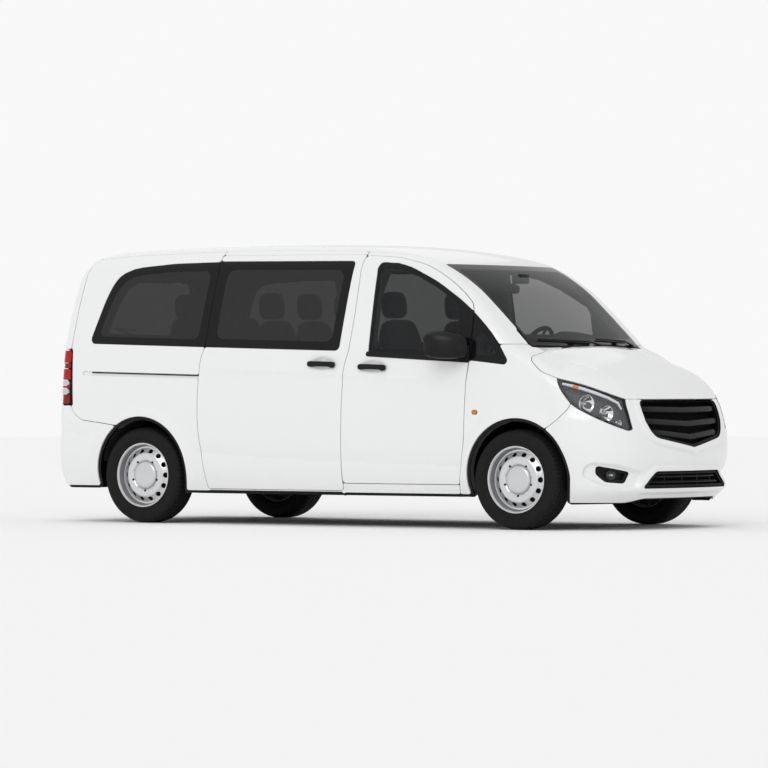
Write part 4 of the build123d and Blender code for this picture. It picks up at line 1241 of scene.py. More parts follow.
def front_bumper_skin():
    openings = outside(arches, in_headlamp, in_grille, in_lower_grille, in_fog, in_bonnet)
    shape = panel(within(in_fascia, bottom, openings), 0.003, skin=NOSE)
    build("front_bumper_skin", shape, [PAINT, SEAL_AND_GAP_SHADE], "root", ["front_bumper"])


def rear_bumper_skin():
    shape = panel(within(in_rear_bumper, beyond(2, 0.262), outside(arches, in_tail_lamp)), 0.003)
    build("rear_bumper_skin", shape, [PAINT, SEAL_AND_GAP_SHADE], "root", ["rear_bumper"])


def tailgate_skin():
    opening, clear = (within(front_view(line), before(0, 0)) for line in (REAR_GLASS, REAR_CLEAR))
    shape = panel(within(in_gate, outside(opening, in_tail_lamp)), flange=0.0)
    shape.join(lining(within(in_gate, outside(clear, in_tail_lamp)), gap=0.02))
    build("tailgate_skin", shape, [PAINT, SEAL_AND_GAP_SHADE, TRIM], "tailgate", ["tailgate"])


def cowl_panel():
    build("cowl_panel", sheet(in_cowl, 0.008, grow=0.006), [BLACK], "root", ["cowl"])


def rails_with_painted_shade_line():
    """A dark rod along the top of each quarter panel's slot: the sliding door's rail, whose black also paints
    the shadow under the slot's upper edge.
    """
    stations = np.linspace(-2.10, -1.112, 34)
    heights = 1.0795 - 0.0240 * (stations + 2.10)
    path = np.array([surface(x=x, z=z) for x, z in zip(stations, heights)])
    rails = rod([tuple(q) for q in path + [0, 0.0045, 0]], 0.0042, 8).both()
    build("rails_with_painted_shade_line", rails, [SEAL_AND_GAP_SHADE], "root", ["side_frame_right", "side_frame_left"])


def pillar_trims():
    """The lining of each pillar between the front and the sliding door."""
    outline = rounded((0.010, 0.300), (0.210, 0.300), (0.260, 1.000, 0.8), (0.300, 1.450, 1.0),
                      (0.400, 1.860), (0.090, 1.870), (0.040, 1.000, 0.8))
    trims = sheet(within(on_right, side_view(outline)), 0.082, edge=0.004).both()
    build("pillar_trims", trims, [TRIM], "root", ["side_frame_right", "side_frame_left"])


side_skins()
roof_skin()
bonnet_skin()
fender_skins()
front_bumper_skin()
rear_bumper_skin()
tailgate_skin()
cowl_panel()
rails_with_painted_shade_line()
pillar_trims()


# ---- glass -------------------------------------------------------------------
def pane(whole, see_through):
    """Glass with its black border: slot 0 the tinted middle, slot 1 the border."""
    middle = sheet(within(whole, see_through), PANE_DEPTH, 0)
    return middle.join(sheet(within(whole, outside(see_through)), PANE_DEPTH, 1))


def windscreen_pane():
    """The windscreen's glass."""
    screen = pane(in_screen, front_view(SCREEN_CLEAR))
    build("windscreen_glass", screen, [CLEAR, GLOSS], "root", ["windscreen"])


def side_panes():
    """The glass of the doors and of the quarter panels, on both sides."""
    front_glass = side_view(FRONT_GLASS)
    door = pane(within(on_right, in_door, front_glass, before(0, 1.168)), side_view(DOOR_CLEAR))
    light = pane(within(on_right, front_glass, beyond(0, 1.180)), side_view(LIGHT_CLEAR))
    sliding = pane(within(on_right, in_sliding, side_view(SLIDING_GLASS)), side_view(SLIDING_CLEAR))
    behind_door = within(on_right, side_view(QUARTER_GLASS), lambda p: -in_sliding(p) + 0.004)
    quarter = pane(behind_door, side_view(QUARTER_CLEAR))
    for side, sign in SIDES:
        build(f"door_pane_{side}", sided(door, sign), [CLEAR, GLOSS], f"front_door_{side}",
              [f"front_door_glass_{side}"])
        for name, shape, tint, slot in (("quarter_light", light, CLEAR, "clear_glass"),
                                        ("sliding_door_pane", sliding, PRIVACY, "privacy_glass"),
                                        ("quarter_pane", quarter, PRIVACY, "privacy_glass")):
            build(f"{name}_{side}", sided(shape, sign), [tint, GLOSS], "root", ["side_glass"])


def tailgate_pane():
    """The tailgate's window."""
    rear = pane(within(front_view(REAR_GLASS), before(0, -1.0)), front_view(REAR_CLEAR))
    build("tailgate_pane", rear, [PRIVACY, GLOSS], "tailgate", ["tailgate_glass"])


windscreen_pane()
side_panes()
tailgate_pane()


# ---- wheels ------------------------------------------------------------------
def tyre():
    """A tyre about Y: ringed sidewalls, and a tread with grooves round and across."""
    side = [(0.2215, 0.078), (0.2270, 0.087), (0.2340, 0.0925), (0.2385, 0.0975), (0.2430, 0.0990),
            (0.2465, 0.0985), (0.2490, 0.0968), (0.2600, 0.1005), (0.2612, 0.1018), (0.2640, 0.1020),
            (0.2655, 0.1012), (0.2760, 0.1043), (0.2900, 0.1058), (0.3040, 0.1050), (0.3120, 0.1030),
            (0.3135, 0.1034), (0.3165, 0.1022), (0.3180, 0.1006), (0.3250, 0.0960), (0.3310, 0.0900),
            (0.3360, 0.0825), (0.3395, 0.0740)]
    tread = [(0.3412, 0.066), (0.3422, 0.0562)]
    for edge in (0.050, 0.018):
        tread += [(0.3423, edge + 0.0050), (0.3355, edge + 0.0036), (0.3355, edge - 0.0036),
                  (0.3427, edge - 0.0050)]
    half = side + tread + [(0.3430, 0.006)]
    profile = [(r, t) for r, t in half] + [(r, -t) for r, t in reversed(half)]
    pitches, sweep = 68, 3.2  # grooves across the tread, and how far they sweep round from its middle
    shoulder_cut, middle_cut = 0.0055, 0.0030
    rings = []
    for r, t in profile:
        ring = []
        on_shoulder, on_middle = 0.056 < abs(t) < 0.085, abs(t) < 0.047 and r > 0.340
        cut = shoulder_cut if on_shoulder else middle_cut if on_middle else 0.0
        for i in range(pitches):
            for part, deep in ((0.0, 0), (0.05, 1), (0.17, 1), (0.22, 0)):
                a = 2 * math.pi * (i + part + sweep * abs(t)) / pitches
                rr = r - cut * deep
                ring.append((rr * math.cos(a), t, rr * math.sin(a)))
        rings.append(ring)
    return loft(rings, False)


class Disc:
    """The rim's pressed disc as a polar grid of points, normals and faces."""

    VENTS, VENT_RING_R = 14, 0.1745
    VENT_HALF_WIDTH, VENT_HALF_LENGTH = 0.0165, 0.0215
    INNER_R, OUTER_R = 0.088, 0.2045
    AROUND, OUT = 280, 30

    def __init__(self):
        level = spline((0.085, 0.050), (0.098, 0.052), (0.106, 0.0600), (0.122, 0.0655), (0.146, 0.0665),
                       (0.156, 0.0630), (0.168, 0.0540), (0.182, 0.0460), (0.196, 0.0405), (0.206, 0.0420))
        r = np.linspace(self.INNER_R, self.OUTER_R, self.OUT)
        a = np.linspace(0, 2 * math.pi, self.AROUND, endpoint=False)
        rr, aa = (v.ravel() for v in np.meshgrid(r, a, indexing="ij"))
        slope = (level(rr + 1e-4) - level(rr - 1e-4)) / 2e-4
        self.points = np.stack([rr * np.cos(aa), level(rr), rr * np.sin(aa)], 1)
        n = np.stack([-slope * np.cos(aa), np.ones(len(rr)), -slope * np.sin(aa)], 1)
        self.normals = n / np.linalg.norm(n, axis=1, keepdims=True)
        self.faces = []
        for i in range(self.OUT - 1):
            for j in range(self.AROUND):
                here, beside = i * self.AROUND + j, i * self.AROUND + (j + 1) % self.AROUND
                self.faces.append((beside, beside + self.AROUND, here + self.AROUND, here))
        x, z = self.points[:, 0], self.points[:, 2]
        best = np.full(len(x), 9.0)
        for k in range(self.VENTS):
            t = 2 * math.pi * k / self.VENTS
            u = x * math.cos(t) + z * math.sin(t) - self.VENT_RING_R
            v = -x * math.sin(t) + z * math.cos(t)
            best = np.minimum(best,
                              (np.hypot(u / self.VENT_HALF_WIDTH, v / self.VENT_HALF_LENGTH) - 1) * 0.019)
        self.field = -best  # below 0 outside the vents


def rim():
    """A steel rim: barrel with a bright flange, vented disc, domed cap and valve."""
    flange = [(0.2215, 0.076), (0.2220, 0.080), (0.2290, 0.0865), (0.2303, 0.0905), (0.2298, 0.0940),
              (0.2270, 0.0952), (0.2225, 0.0940), (0.2190, 0.0890), (0.2168, 0.0815)]
    well = [(0.2168, 0.0815), (0.2120, 0.0745), (0.2085, 0.0640), (0.2075, 0.0520), (0.2060, 0.0300),
            (0.2060, -0.0700), (0.2160, -0.0850), (0.2215, -0.0800), (0.2215, 0.0760)]
    cap = [(0.0945, 0.044), (0.0962, 0.0560), (0.0950, 0.0620), (0.0915, 0.0670), (0.0850, 0.0705),
           (0.0700, 0.0735), (0.0500, 0.0762), (0.0300, 0.0778), (0.0120, 0.0785), (0.0004, 0.0787)]
    boss_line = [(0.0003, 0.0060), (0.0060, 0.0056), (0.0084, 0.0030), (0.0088, -0.0030)]
    bosses, boss_ring_r, boss_y = 10, 0.1120, 0.0625
    silver, cap_silver, black, well_shade = range(4)
    # the well's rings take the darker grey, which is painted shade inside the barrel
    whole = lathe(flange, 120, silver).join(lathe(well, 120, well_shade)).join(lathe(cap, 96, cap_silver))
    for k in range(bosses):
        t = 2 * math.pi * (k + 0.5) / bosses
        boss = lathe(boss_line, 14, black if k % 2 else silver)
        centre = (boss_ring_r * math.cos(t), boss_y, boss_ring_r * math.sin(t))
        whole.join(on_axes(boss, (1, 0, 0), (0, 1, 0), (0, 0, 1), centre))
    valve = [(0.196, 0.040, 0.0), (0.199, 0.062, 0.0), (0.200, 0.075, 0.0)]
    return whole.join(rod(valve, [0.0055, 0.0048, 0.0042], 10, black))


def rim_disc():
    """The vented disc, with rounded edges to its vents."""
    disc = Disc()
    points, normals, faces = clip(disc, disc.field)
    edge = 0.0022
    return rolled(points, normals, faces, [*quarter_round(edge), (edge, 0.010, 90, SKIN_SLOT)])


def wheels():
    """Tyre, rim, vented disc and brake drum at each of the four places."""
    tread, steel, plate = tyre(), rim(), rim_disc()
    drum = lathe([(0.0004, 0.010), (0.196, 0.012), (0.196, -0.006), (0.110, -0.020), (0.0004, -0.020)], 64)
    for end, x, y in (("front", FRONT_AXLE_X, FRONT_WHEEL_Y), ("rear", REAR_AXLE_X, REAR_WHEEL_Y)):
        for side, sign in SIDES:
            place = Matrix.Translation((x, sign * y, TYRE_R)) @ Matrix.Diagonal((1, sign, 1, 1))
            which, body = f"{end}_{side}", f"wheel_{end}_{side}"
            build(f"tyre_tread_{which}", tread.moved(place), [TYRE], body, [f"tyre_{which}"])
            build(f"rim_steel_{which}", steel.moved(place), [SILVER, CAP_SILVER, BLACK, WELL_SHADE], body,
                  [f"rim_{which}"])
            build(f"rim_disc_{which}", plate.moved(place), [SILVER], body, [f"rim_{which}"])
            build(f"brake_drum_{which}", drum.moved(place), [CHASSIS], body)


wheels()


# ---- wheelhouse liners -------------------------------------------------------
def wheelhouse(x, inner_y, foot):
    """A liner over one wheel of the right side: a vault, and its inner wall."""
    radius, bays, ripple = ARCH_R + 0.004, 8, 0.004
    start = math.asin((foot - ARCH_Z) / radius)
    angles = np.linspace(start, math.pi - start, 49)
    outer = half_width(x + radius * np.cos(angles), ARCH_Z + radius * np.sin(angles)) - 0.011
    rows = []
    for k in range(bays + 1):
        t, r = k / bays, radius + ripple * (k % 2)
        rx, rz = x + r * np.cos(angles), ARCH_Z + r * np.sin(angles)
        rows.append([(a, -(inner_y + (o - inner_y) * t), b) for a, o, b in zip(rx, outer, rz)])
    n = len(angles)
    faces = [(i * n + j, i * n + j + 1, (i + 1) * n + j + 1, (i + 1) * n + j)
             for i in range(bays) for j in range(n - 1)]
    faces.append(tuple(range(n)))
    return Shape().add([p for row in rows for p in row], None, faces)


liners = wheelhouse(FRONT_AXLE_X, 0.540, 0.24).join(wheelhouse(REAR_AXLE_X, 0.640, 0.25)).both()
build("wheelhouse_liners", liners, [LINER], "root")


# ---- nose --------------------------------------------------------------------
def front_x(y, z):
    return float(surface(y=y, z=z)[0])


def slat(half, z_side, z_middle, height, depth, back):
    """A grille slat that follows the nose, lower in the middle."""
    rings = []
    for y in np.linspace(-half, half, 25):
        t = abs(y) / half
        z = z_middle + (z_side - z_middle) * t
        x = front_x(y, z) - back - 0.018 * ease(t, 0.86, 1.0)
        h, d, r = height / 2 * (1 - 0.25 * ease(t, 0.9, 1.0)), depth / 2, 0.003
        ring = [(x + d - r, y, z + h * 0.5), (x + d - 3 * r, y, z + h), (x - d, y, z + h + 0.004),
                (x - d, y, z - h), (x + d - r, y, z - h), (x + d, y, z - h + r), (x + d, y, z + h * 0.2)]
        rings.append(ring)
    return loft(rings)


def grille():
    """The two grilles: dark recesses with slats, and the lower one's posts."""
    for half, side_z, middle_z in ((0.480, 0.824, 0.816), (0.478, 0.742, 0.722), (0.425, 0.668, 0.632)):
        build(f"grille_slat_{round(middle_z * 1000)}", slat(half, side_z, middle_z, 0.036, 0.024, 0.024),
              [BLACK], "root", ["grilles"])
    recess = bowl(in_grille, 0.070, 0.003, 1, NOSE)
    build("grille_recess", recess, [LINER, LINER], "root", ["grilles"])
    recess = bowl(in_lower_grille, 0.060, 0.003, skin=NOSE)
    build("lower_grille_recess", recess, [LINER], "root", ["grilles"])
    for half, z in ((0.415, 0.364), (0.450, 0.326)):
        build(f"lower_slat_{round(z * 1000)}", slat(half, z, z, 0.014, 0.016, 0.022), [BLACK], "root",
              ["grilles"])
    posts = Shape()
    for y in (-0.30, -0.10, 0.10, 0.30):
        x = front_x(y, 0.35)
        posts.join(block(x - 0.036, x - 0.022, y - 0.004, y + 0.004, 0.292, 0.396, 0.002))
    build("lower_grille_posts", posts, [BLACK], "root", ["grilles"])


grille()


def reflector(centre, aim, radius, depth, slot=0):
    """A round lamp reflector: bowl, rim and bulb, facing along aim."""
    bowl_line = [(0.012, -depth)] + [(radius * t, -depth * (1 - t * t))
                                     for t in (0.35, 0.5, 0.65, 0.8, 0.9, 1.0)]
    shape = lathe(bowl_line + [(radius + 0.003, 0.001), (radius + 0.004, -0.004), (radius + 0.003, -0.020)],
                  48, slot)
    shape.join(lathe([(0.0004, -depth + 0.030), (0.006, -depth + 0.028), (0.008, -depth + 0.020),
                      (0.008, -depth), (0.014, -depth)], 24, slot + 1))
    w = Vector(aim).normalized()
    u = w.cross(Vector((0, 0, 1))).normalized()
    return on_axes(shape, u, w, u.cross(w), centre)


def lamp_point(x, z, depth):
    """A point at a depth behind the right side's form, and the form's normal there."""
    y = float(surface(x=x, z=z)[1])
    n = slopes(np.array([[x, y, z]]))[0]
    return np.array([x, y, z]) - n * depth, n


def headlamps():
    """Headlamps: dark housing, three reflectors, light strip and marker, and a clear cover."""
    lamp = within(in_headlamp, on_right)
    housing = bowl(lamp, 0.062, 0.0025)
    cover = sheet(lamp, 0.0005, edge=0.001)
    edge = panel(within(lamp, lambda p: -0.011 - distance(HEADLAMP, p[:, 0], p[:, 2])), 0.001, 0.0)
    optics = Shape()
    for x, z, radius in ((2.068, 0.866, 0.058), (2.186, 0.803, 0.050)):
        centre, n = lamp_point(x, z, 0.026)
        optics.join(reflector(centre, (0.85 + 0.3 * n[0], 0.5 * n[1], 0.0), radius, 0.042))
    x, z = 2.250, 0.726
    y = float(surface(x=x, z=z)[1])
    optics.join(reflector((x - 0.020, y + 0.010, z), (1, -0.3, 0), 0.020, 0.016))
    strip = [tuple(lamp_point(x, z, 0.012)[0])
             for x, z in ((1.895, 1.004), (1.965, 0.988), (2.035, 0.966), (2.105, 0.938), (2.165, 0.908),
                          (2.215, 0.872), (2.240, 0.826))]
    light = rod(strip, [0.009, 0.012, 0.013, 0.013, 0.012, 0.010, 0.006], 12, flat=0.9)
    marker = rod([strip[1], tuple((np.array(strip[1]) + np.array(strip[2])) / 2)], 0.0128, 12)
    for side, sign in SIDES:
        for name, shape, materials in (("housing", housing, [LAMP_DARK]), ("cover", cover, [LAMP_GLASS]),
                                       ("rim", edge, [GLOSS]), ("optics", optics, [CHROME, WHITE_LENS]),
                                       ("strip", light, [STRIP]), ("marker", marker, [AMBER])):
            build(f"headlamp_{name}_{side}", sided(shape, sign), materials, "root",
                  ["front_lamps"])


headlamps()


def fog_lamps():
    """Round lamps in recesses of the nose's pockets."""
    y, z = -0.702, 0.377
    lamp = reflector((front_x(y, z) - 0.020, y, z), (1, -0.35, 0), 0.030, 0.018, 1).both()
    build("fog_recesses", bowl(in_fog, 0.045, 0.003, skin=NOSE), [BLACK], "root",
          ["front_lamps"])
    build("fog_lamps", lamp, [BLACK, LAMP_DARK, WHITE_LENS], "root", ["front_lamps"])


fog_lamps()


# ---- tail lamps --------------------------------------------------------------
def tail_lamps():
    """Stacked lenses in a dark red housing."""
    red, dark, white = range(3)
    blocks = ((1.150, 1.240, red), (1.110, 1.148, dark), (1.026, 1.107, red), (0.988, 1.023, white),
              (0.967, 0.985, red), (0.925, 0.964, white), (0.850, 0.922, dark))
    build("tail_lamp_housing", bowl(in_tail_lamp, 0.030, 0.001), [DARK_RED], "root",
          ["tail_lamps"])
    lenses = Shape()
    for low, high, kind in blocks:
        front = -2.312 if kind == white else -2.300
        field = within(in_tail_lamp, before(0, front), beyond(2, low), before(2, high))
        piece = panel(field, 0.002, 0.0, PANEL, 0.002)
        if kind == dark:  # set back, except where it faces sideways
            n = np.array(piece.normals)
            piece.points = [tuple(q) for q in np.array(piece.points) - n * 0.006 * (np.abs(n[:, :1]) > 0.2)]
        lenses.join(piece.recoloured(kind))
    build("tail_lamp_lenses", lenses, [RED, DARK_RED, WHITE_LENS], "root", ["tail_lamps"])


tail_lamps()


# ---- handles, mirrors, repeaters ---------------------------------------------
def grip():
    """A door handle's grip about its middle, as (x, z, out)."""
    outline = rounded((-0.116, -0.018, 0.014), (-0.116, 0.014, 0.014), (-0.090, 0.019, 0.03),
                      (0.080, 0.014, 0.05), (0.116, 0.010, 0.014), (0.116, -0.024, 0.014),
                      (0.090, -0.031, 0.012), (0.060, -0.021, 0.02), (-0.040, -0.018, 0.04),
                      (-0.090, -0.022, 0.03))
    shape = bevelled(outline, 0.012, 0.030, 0.006, steps=4)
    for a, b in ((-0.106, -0.062), (0.078, 0.106)):
        shape.join(block(a, b, -0.018, 0.010, -0.020, 0.016, 0.004))
    lock = lathe([(0.0004, 0.0312), (0.0070, 0.0310), (0.0080, 0.0298)], 24, 0)
    lock = on_axes(lock, (1, 0, 0), (0, 0, 1), (0, 1, 0), (-0.085, -0.002, 0))
    return shape.join(lock)


def handles():
    """The grips of the four side doors, over the dishes in their skins."""
    for (x, z), door, moves in ((HANDLES[0], "front_door", True), (HANDLES[1], "sliding_door", False)):
        plain = HALF_WIDTH - FRONT_TAPER * max(0.0, (x - MID_X) / 2.95) ** 2 - float(TUCK(z))
        shape = on_axes(grip(), (1, 0, 0), (0, 0, 1), (0, -1, 0), (x, -plain, z))
        for side, sign in SIDES:
            build(f"{door}_handle_{side}", sided(shape, sign), [BLACK], f"{door}_{side}" if moves else "root",
                  [f"{door}_{side}"])


handles()


def mirror_head():
    """The right mirror: a swept housing with a seam, its glass, arm and foot."""
    # y, then the middle and half length along x, and the middle and half height along z
    stations = ((-0.950, 1.120, 0.020, 1.272, 0.030), (-0.956, 1.116, 0.075, 1.266, 0.066),
                (-0.972, 1.105, 0.105, 1.264, 0.083), (-1.000, 1.085, 0.115, 1.265, 0.0905),
                (-1.035, 1.055, 0.112, 1.266, 0.0915), (-1.070, 1.025, 0.100, 1.266, 0.089),
                (-1.096, 1.000, 0.080, 1.265, 0.082), (-1.113, 0.982, 0.054, 1.263, 0.066),
                (-1.1205, 0.972, 0.018, 1.262, 0.032))
    points, seam_z = 36, 1.243
    rings = []
    for y, x, half_x, z, half_z in stations:
        ring = []
        for k in range(points):
            c, s = math.cos(2 * math.pi * k / points), math.sin(2 * math.pi * k / points)
            lean = -0.016 * s
            u = max(math.copysign(abs(c) ** 0.75, c) * half_x, -0.42 * half_x - 0.022)
            v = math.copysign(abs(s) ** 0.72, s) * half_z
            ring.append((x + u * 0.94 - 0.020 + lean * half_x / 0.1, y, z + v - 0.006 * (v < 0)))
        rings.append(ring)
    shape = loft(rings)
    heights = [sum(shape.points[i][2] for i in face) / len(face) for face in shape.faces]
    shape.slots = [1 if height > seam_z else 0 for height in heights]
    outline = rounded((-0.955, 1.205, 0.02), (-0.962, 1.322, 0.02), (-1.085, 1.325, 0.04),
                      (-1.104, 1.215, 0.04))
    face = on_axes(bevelled(outline, 0.0, 0.004, 0.002, 1), (0.30, 1, 0), (0, 0, 1), (-1, 0, 0),
                   (1.283, 0, 0))
    foot = block(1.085, 1.165, -0.925, -0.905, 1.176, 1.262, 0.010, 4)
    arm_path = [(1.120, -0.915, 1.215), (1.118, -0.945, 1.212), (1.112, -0.985, 1.220)]
    return shape.join(foot).join(rod(arm_path, [0.030, 0.026, 0.030], 16, flat=0.8)), face


def mirrors():
    """Both outside mirrors, which ride on the front doors."""
    head, face = mirror_head()
    for side, sign in SIDES:
        door = f"front_door_{side}"
        build(f"mirror_head_{side}", sided(head, sign), [BLACK, SATIN], door,
              [f"mirror_{side}"])
        build(f"mirror_face_{side}", sided(face, sign), [CHROME, CHROME], door,
              [f"mirror_{side}"])


mirrors()


def repeaters():
    """Small amber lamps on the fenders."""
    x, z = 1.222, 0.802
    y = -float(half_width(np.array([x]), np.array([z]))[0])
    shape = bevelled(rectangle(0.023, 0.015, 0.013), -0.004, 0.002, 0.0015, 1)
    shape.join(bevelled(rectangle(0.019, 0.011, 0.010), -0.002, 0.006, 0.004, 0, 4))
    shape = on_axes(shape, (1, 0, 0), (0, 0, 1), (0, -1, 0), (x, y, z)).both()
    build("side_repeaters", shape, [AMBER, BLACK], "root")


repeaters()


# ---- strips round the door glass, wipers -------------------------------------
def door_strips():
    """The waist seal under the front door's glass, and the seal round it."""
    waist = rounded((0.322, 1.190, 0.010), (1.164, 1.144, 0.004), (1.164, 1.176, 0.004),
                    (0.322, 1.222, 0.010))
    strip = raised(within(on_right, side_view(waist)), 0.005)
    border = within(on_right, in_door, before(0, 1.166), side_view(FRONT_GLASS),
                    outside(side_view(DOOR_CLEAR)))
    ring = raised(within(border, lambda p: -distance(FRONT_GLASS, p[:, 0], p[:, 2]) - 0.016), 0.0022)
    for side, sign in SIDES:
        build(f"waist_seal_{side}", sided(strip, sign), [BLACK], f"front_door_{side}")
        build(f"glass_seal_{side}", sided(ring, sign), [SEAL_AND_GAP_SHADE], f"front_door_{side}")


door_strips()


def bowed(start, end, count, rise):
    """Points from start to end, bowed away from a straight line by rise in the middle."""
    points = []
    for t in np.linspace(0, 1, count):
        bow = math.sin(math.pi * t)
        points.append(tuple(a + (b - a) * t + r * bow for a, b, r in zip(start, end, rise)))
    return points


def wipers():
    """Arms and blades at the foot of the windscreen."""
    foot_z, blade_z = 1.266, 1.288
    arm_radii = [0.011, 0.010, 0.009, 0.008, 0.007, 0.006, 0.006, 0.0055, 0.005]
    for name, pivot, tip, lift in (("right", 0.02, -0.60, 0.0), ("left", 0.56, 0.04, 0.006)):
        blade = []
        for t in np.linspace(0, 1, 13):
            y, z = tip + (pivot - tip) * 0.86 * t, blade_z + lift + 0.012 * (1 - t)
            blade.append((front_x(y, z) + 0.009, y, z + 0.003))
        base = (front_x(pivot, foot_z) + 0.006, pivot, foot_z)
        arm = bowed(base, blade[6], len(arm_radii), (0.014 * 0.8, 0.0, 0.014 * 0.8))
        shape = rod(blade, 0.0045, 8, flat=1.6).join(rod(arm, arm_radii, 10, flat=0.6))
        shape.join(block(base[0] - 0.026, base[0] + 0.004, pivot - 0.018, pivot + 0.018, 1.242, 1.276,
                         0.008, 4))
        build(f"wiper_{name}", shape, [BLACK], "root", ["wipers"])


wipers()


# ---- cabin -------------------------------------------------------------------
def cushion(half, power=5.0, n=12, channels=(), crown=0.0):
    """A padded form: rounded all over, sewn along its edges, with channels (axis, place, width, depth)."""
    shape = Shape()
    spread = math.pi / 2 * 0.98
    grid = np.sin(np.linspace(-spread, spread, n + 1)) / math.sin(spread)
    a, b = (v.ravel() for v in np.meshgrid(grid, grid, indexing="ij"))
    seam = np.minimum(1 - np.abs(a), 1 - np.abs(b))
    fall = 1 - 0.012 * np.exp(-(seam / 0.05) ** 2)
    m = n + 1
    faces = [(i * m + j, i * m + j + 1, (i + 1) * m + j + 1, (i + 1) * m + j) for i in range(n)
             for j in range(n)]
    for axis in range(3):
        for sign in (-1, 1):
            p = np.zeros((len(a), 3))
            p[:, axis], p[:, (axis + 1) % 3], p[:, (axis + 2) % 3] = sign, a, b
            q = p / (np.abs(p) ** power).sum(1, keepdims=True) ** (1 / power) * fall[:, None]
            q[:, 2] = q[:, 2] * (1 + crown * (1 - q[:, 0] ** 2) * (1 - q[:, 1] ** 2))
            for along, place, width, depth in channels:
                dent = depth * np.exp(-((q[:, along] - place) / width) ** 2)
                q[:, 2] = q[:, 2] - dent * ease(q[:, 2], 0.1, 0.8)
            shape.add(q * np.array(half), None, faces)
    return shape


def welded(shape):
    """Joins points that coincide."""
    index, remap, points = {}, [], []
    for p in shape.points:
        key = tuple(round(c, 6) for c in p)
        if key not in index:
            index[key] = len(points)
            points.append(p)
        remap.append(index[key])
    shape.points = points
    shape.faces = [tuple(remap[i] for i in face) for face in shape.faces]
    return shape


def placed(shape, x, y, z, lean=0.0):
    """Moves a cushion; lean turns it back about Y."""
    return welded(shape).moved(Matrix.Translation((x, y, z)) @ Matrix.Rotation(-math.radians(lean), 4, "Y"))


def tapered(shape, top, reach):
    """Draws a cushion's sides in toward the end that becomes its top."""
    points = []
    for u, v, w in shape.points:
        t = float(ease(u, -0.2 * reach, reach))
        points.append((u, v * (1 - (1 - top) * t), w))
    shape.points = points
    return shape


BACK_HALF, BACK_LEAN = 0.315, 7.5
HEADREST_HALF, HEADREST_Z, HEADREST_LEAN = 0.094, 1.552, 5
SEAT_FOOT_Z = 0.4715
DRIVER_Y = 0.400


def seat_place(name, x, y, width, base, nodes):
    """One place: cushion, back and headrest, each its own padded piece."""
    half = width / 2 - 0.006
    flutes = [(1, -0.52, 0.05, 0.16), (1, 0.52, 0.05, 0.16)]
    bottom_pad = cushion((0.258, half, 0.068), 5, 12, [*flutes, (0, 0.25, 0.05, 0.10)], 0.12)
    seat_pad = placed(bottom_pad, x + 0.260, y, base + 0.064)
    upright = cushion((BACK_HALF, half * 0.97, 0.062), 4.5, 14,
                      [*flutes, (0, -0.30, 0.04, 0.12), (0, 0.30, 0.04, 0.12)], 0.15)
    back_pad = placed(tapered(upright, 0.80, BACK_HALF), x + 0.005, y, base + 0.375, 90 + BACK_LEAN)
    head = cushion((HEADREST_HALF, 0.122, 0.046), 3.6, 12, [(0, -0.1, 0.06, 0.10)], 0.15)
    rest = placed(tapered(head, 0.94, HEADREST_HALF), x - 0.068, y, HEADREST_Z, 90 + HEADREST_LEAN)
    for part, shape, fill in (("cushion", seat_pad, 0.85), ("back", back_pad, 0.85), ("headrest", rest, 0.9)):
        build(f"{name}_{part}", shape, [CLOTH], "root", nodes)
    posts = Shape()
    for side in (-0.055, 0.055):
        posts.join(rod([(x - 0.072, y + side, 1.395), (x - 0.074, y + side, 1.480)], 0.0065, 10))
    build(f"{name}_posts", posts, [CHROME], "root", nodes)


def seat_base(name, x, y, width, base, nodes):
    """The frame under a seat, with its side covers."""
    inner, outer = width / 2 - 0.045, width / 2 - 0.020
    shape = block(x + 0.065, x + 0.440, y - inner, y + inner, SEAT_FOOT_Z, base + 0.012, 0.015, 3)
    shape.join(block(x + 0.040, x + 0.480, y - outer, y + outer, base - 0.055, base + 0.004, 0.012, 3))
    build(f"{name}_frame", shape, [TRIM], "root", nodes)


def seats():
    """Two front seats, and two rows of places behind them."""
    for name, y in (("driver_seat", DRIVER_Y), ("passenger_seat", -DRIVER_Y)):
        place = 0.255, y, 0.52, 0.760, ["front_seats"]
        seat_place(name, *place)
        seat_base(name, *place)
    for row, x, width, places, base in (("second_row", -0.760, 1.40, 3, 0.760),
                                        ("third_row", -1.640, 1.18, 2, 0.800)):
        each = width / places
        for i in range(places):
            seat_place(f"{row}_{i + 1}", x, -width / 2 + each * (i + 0.5), each, base, ["rear_seats"])
        seat_base(row, x, 0.0, width, base, ["rear_seats"])


seats()


def steering_wheel():
    """Rim with a sewn cover, three spokes and a plain pad."""
    centre, tilt, rim_r, stitches = (0.860, DRIVER_Y, 1.240), math.radians(28), 0.174, 64
    axis = Vector((-math.cos(tilt), 0, math.sin(tilt)))
    right = Vector((0, 1, 0))
    up = right.cross(axis).normalized() * -1
    turns = [2 * math.pi * k / stitches for k in range(stitches)]
    shape = rod([(rim_r * math.cos(t), rim_r * math.sin(t), 0) for t in turns],
                [0.0155 + 0.0006 * (k % 2) for k in range(stitches)], 12, 0, True)
    shape.join(welded(cushion((0.070, 0.075, 0.026), 3.2, 8)))
    for t, wide in ((0.0, 0.020), (math.pi, 0.020), (-math.pi / 2, 0.024)):
        path = [(r * math.cos(t), r * math.sin(t), -0.006) for r in (0.045, 0.085, 0.125, 0.166)]
        shape.join(rod(path, [wide * 1.2, wide, wide * 0.8, wide * 0.7], 12, 1, flat=0.35))
    shape = on_axes(shape, right, up, axis, centre)
    build("steering_wheel_rim", shape, [BLACK, TRIM], "steering_wheel", ["steering_wheel"])


steering_wheel()


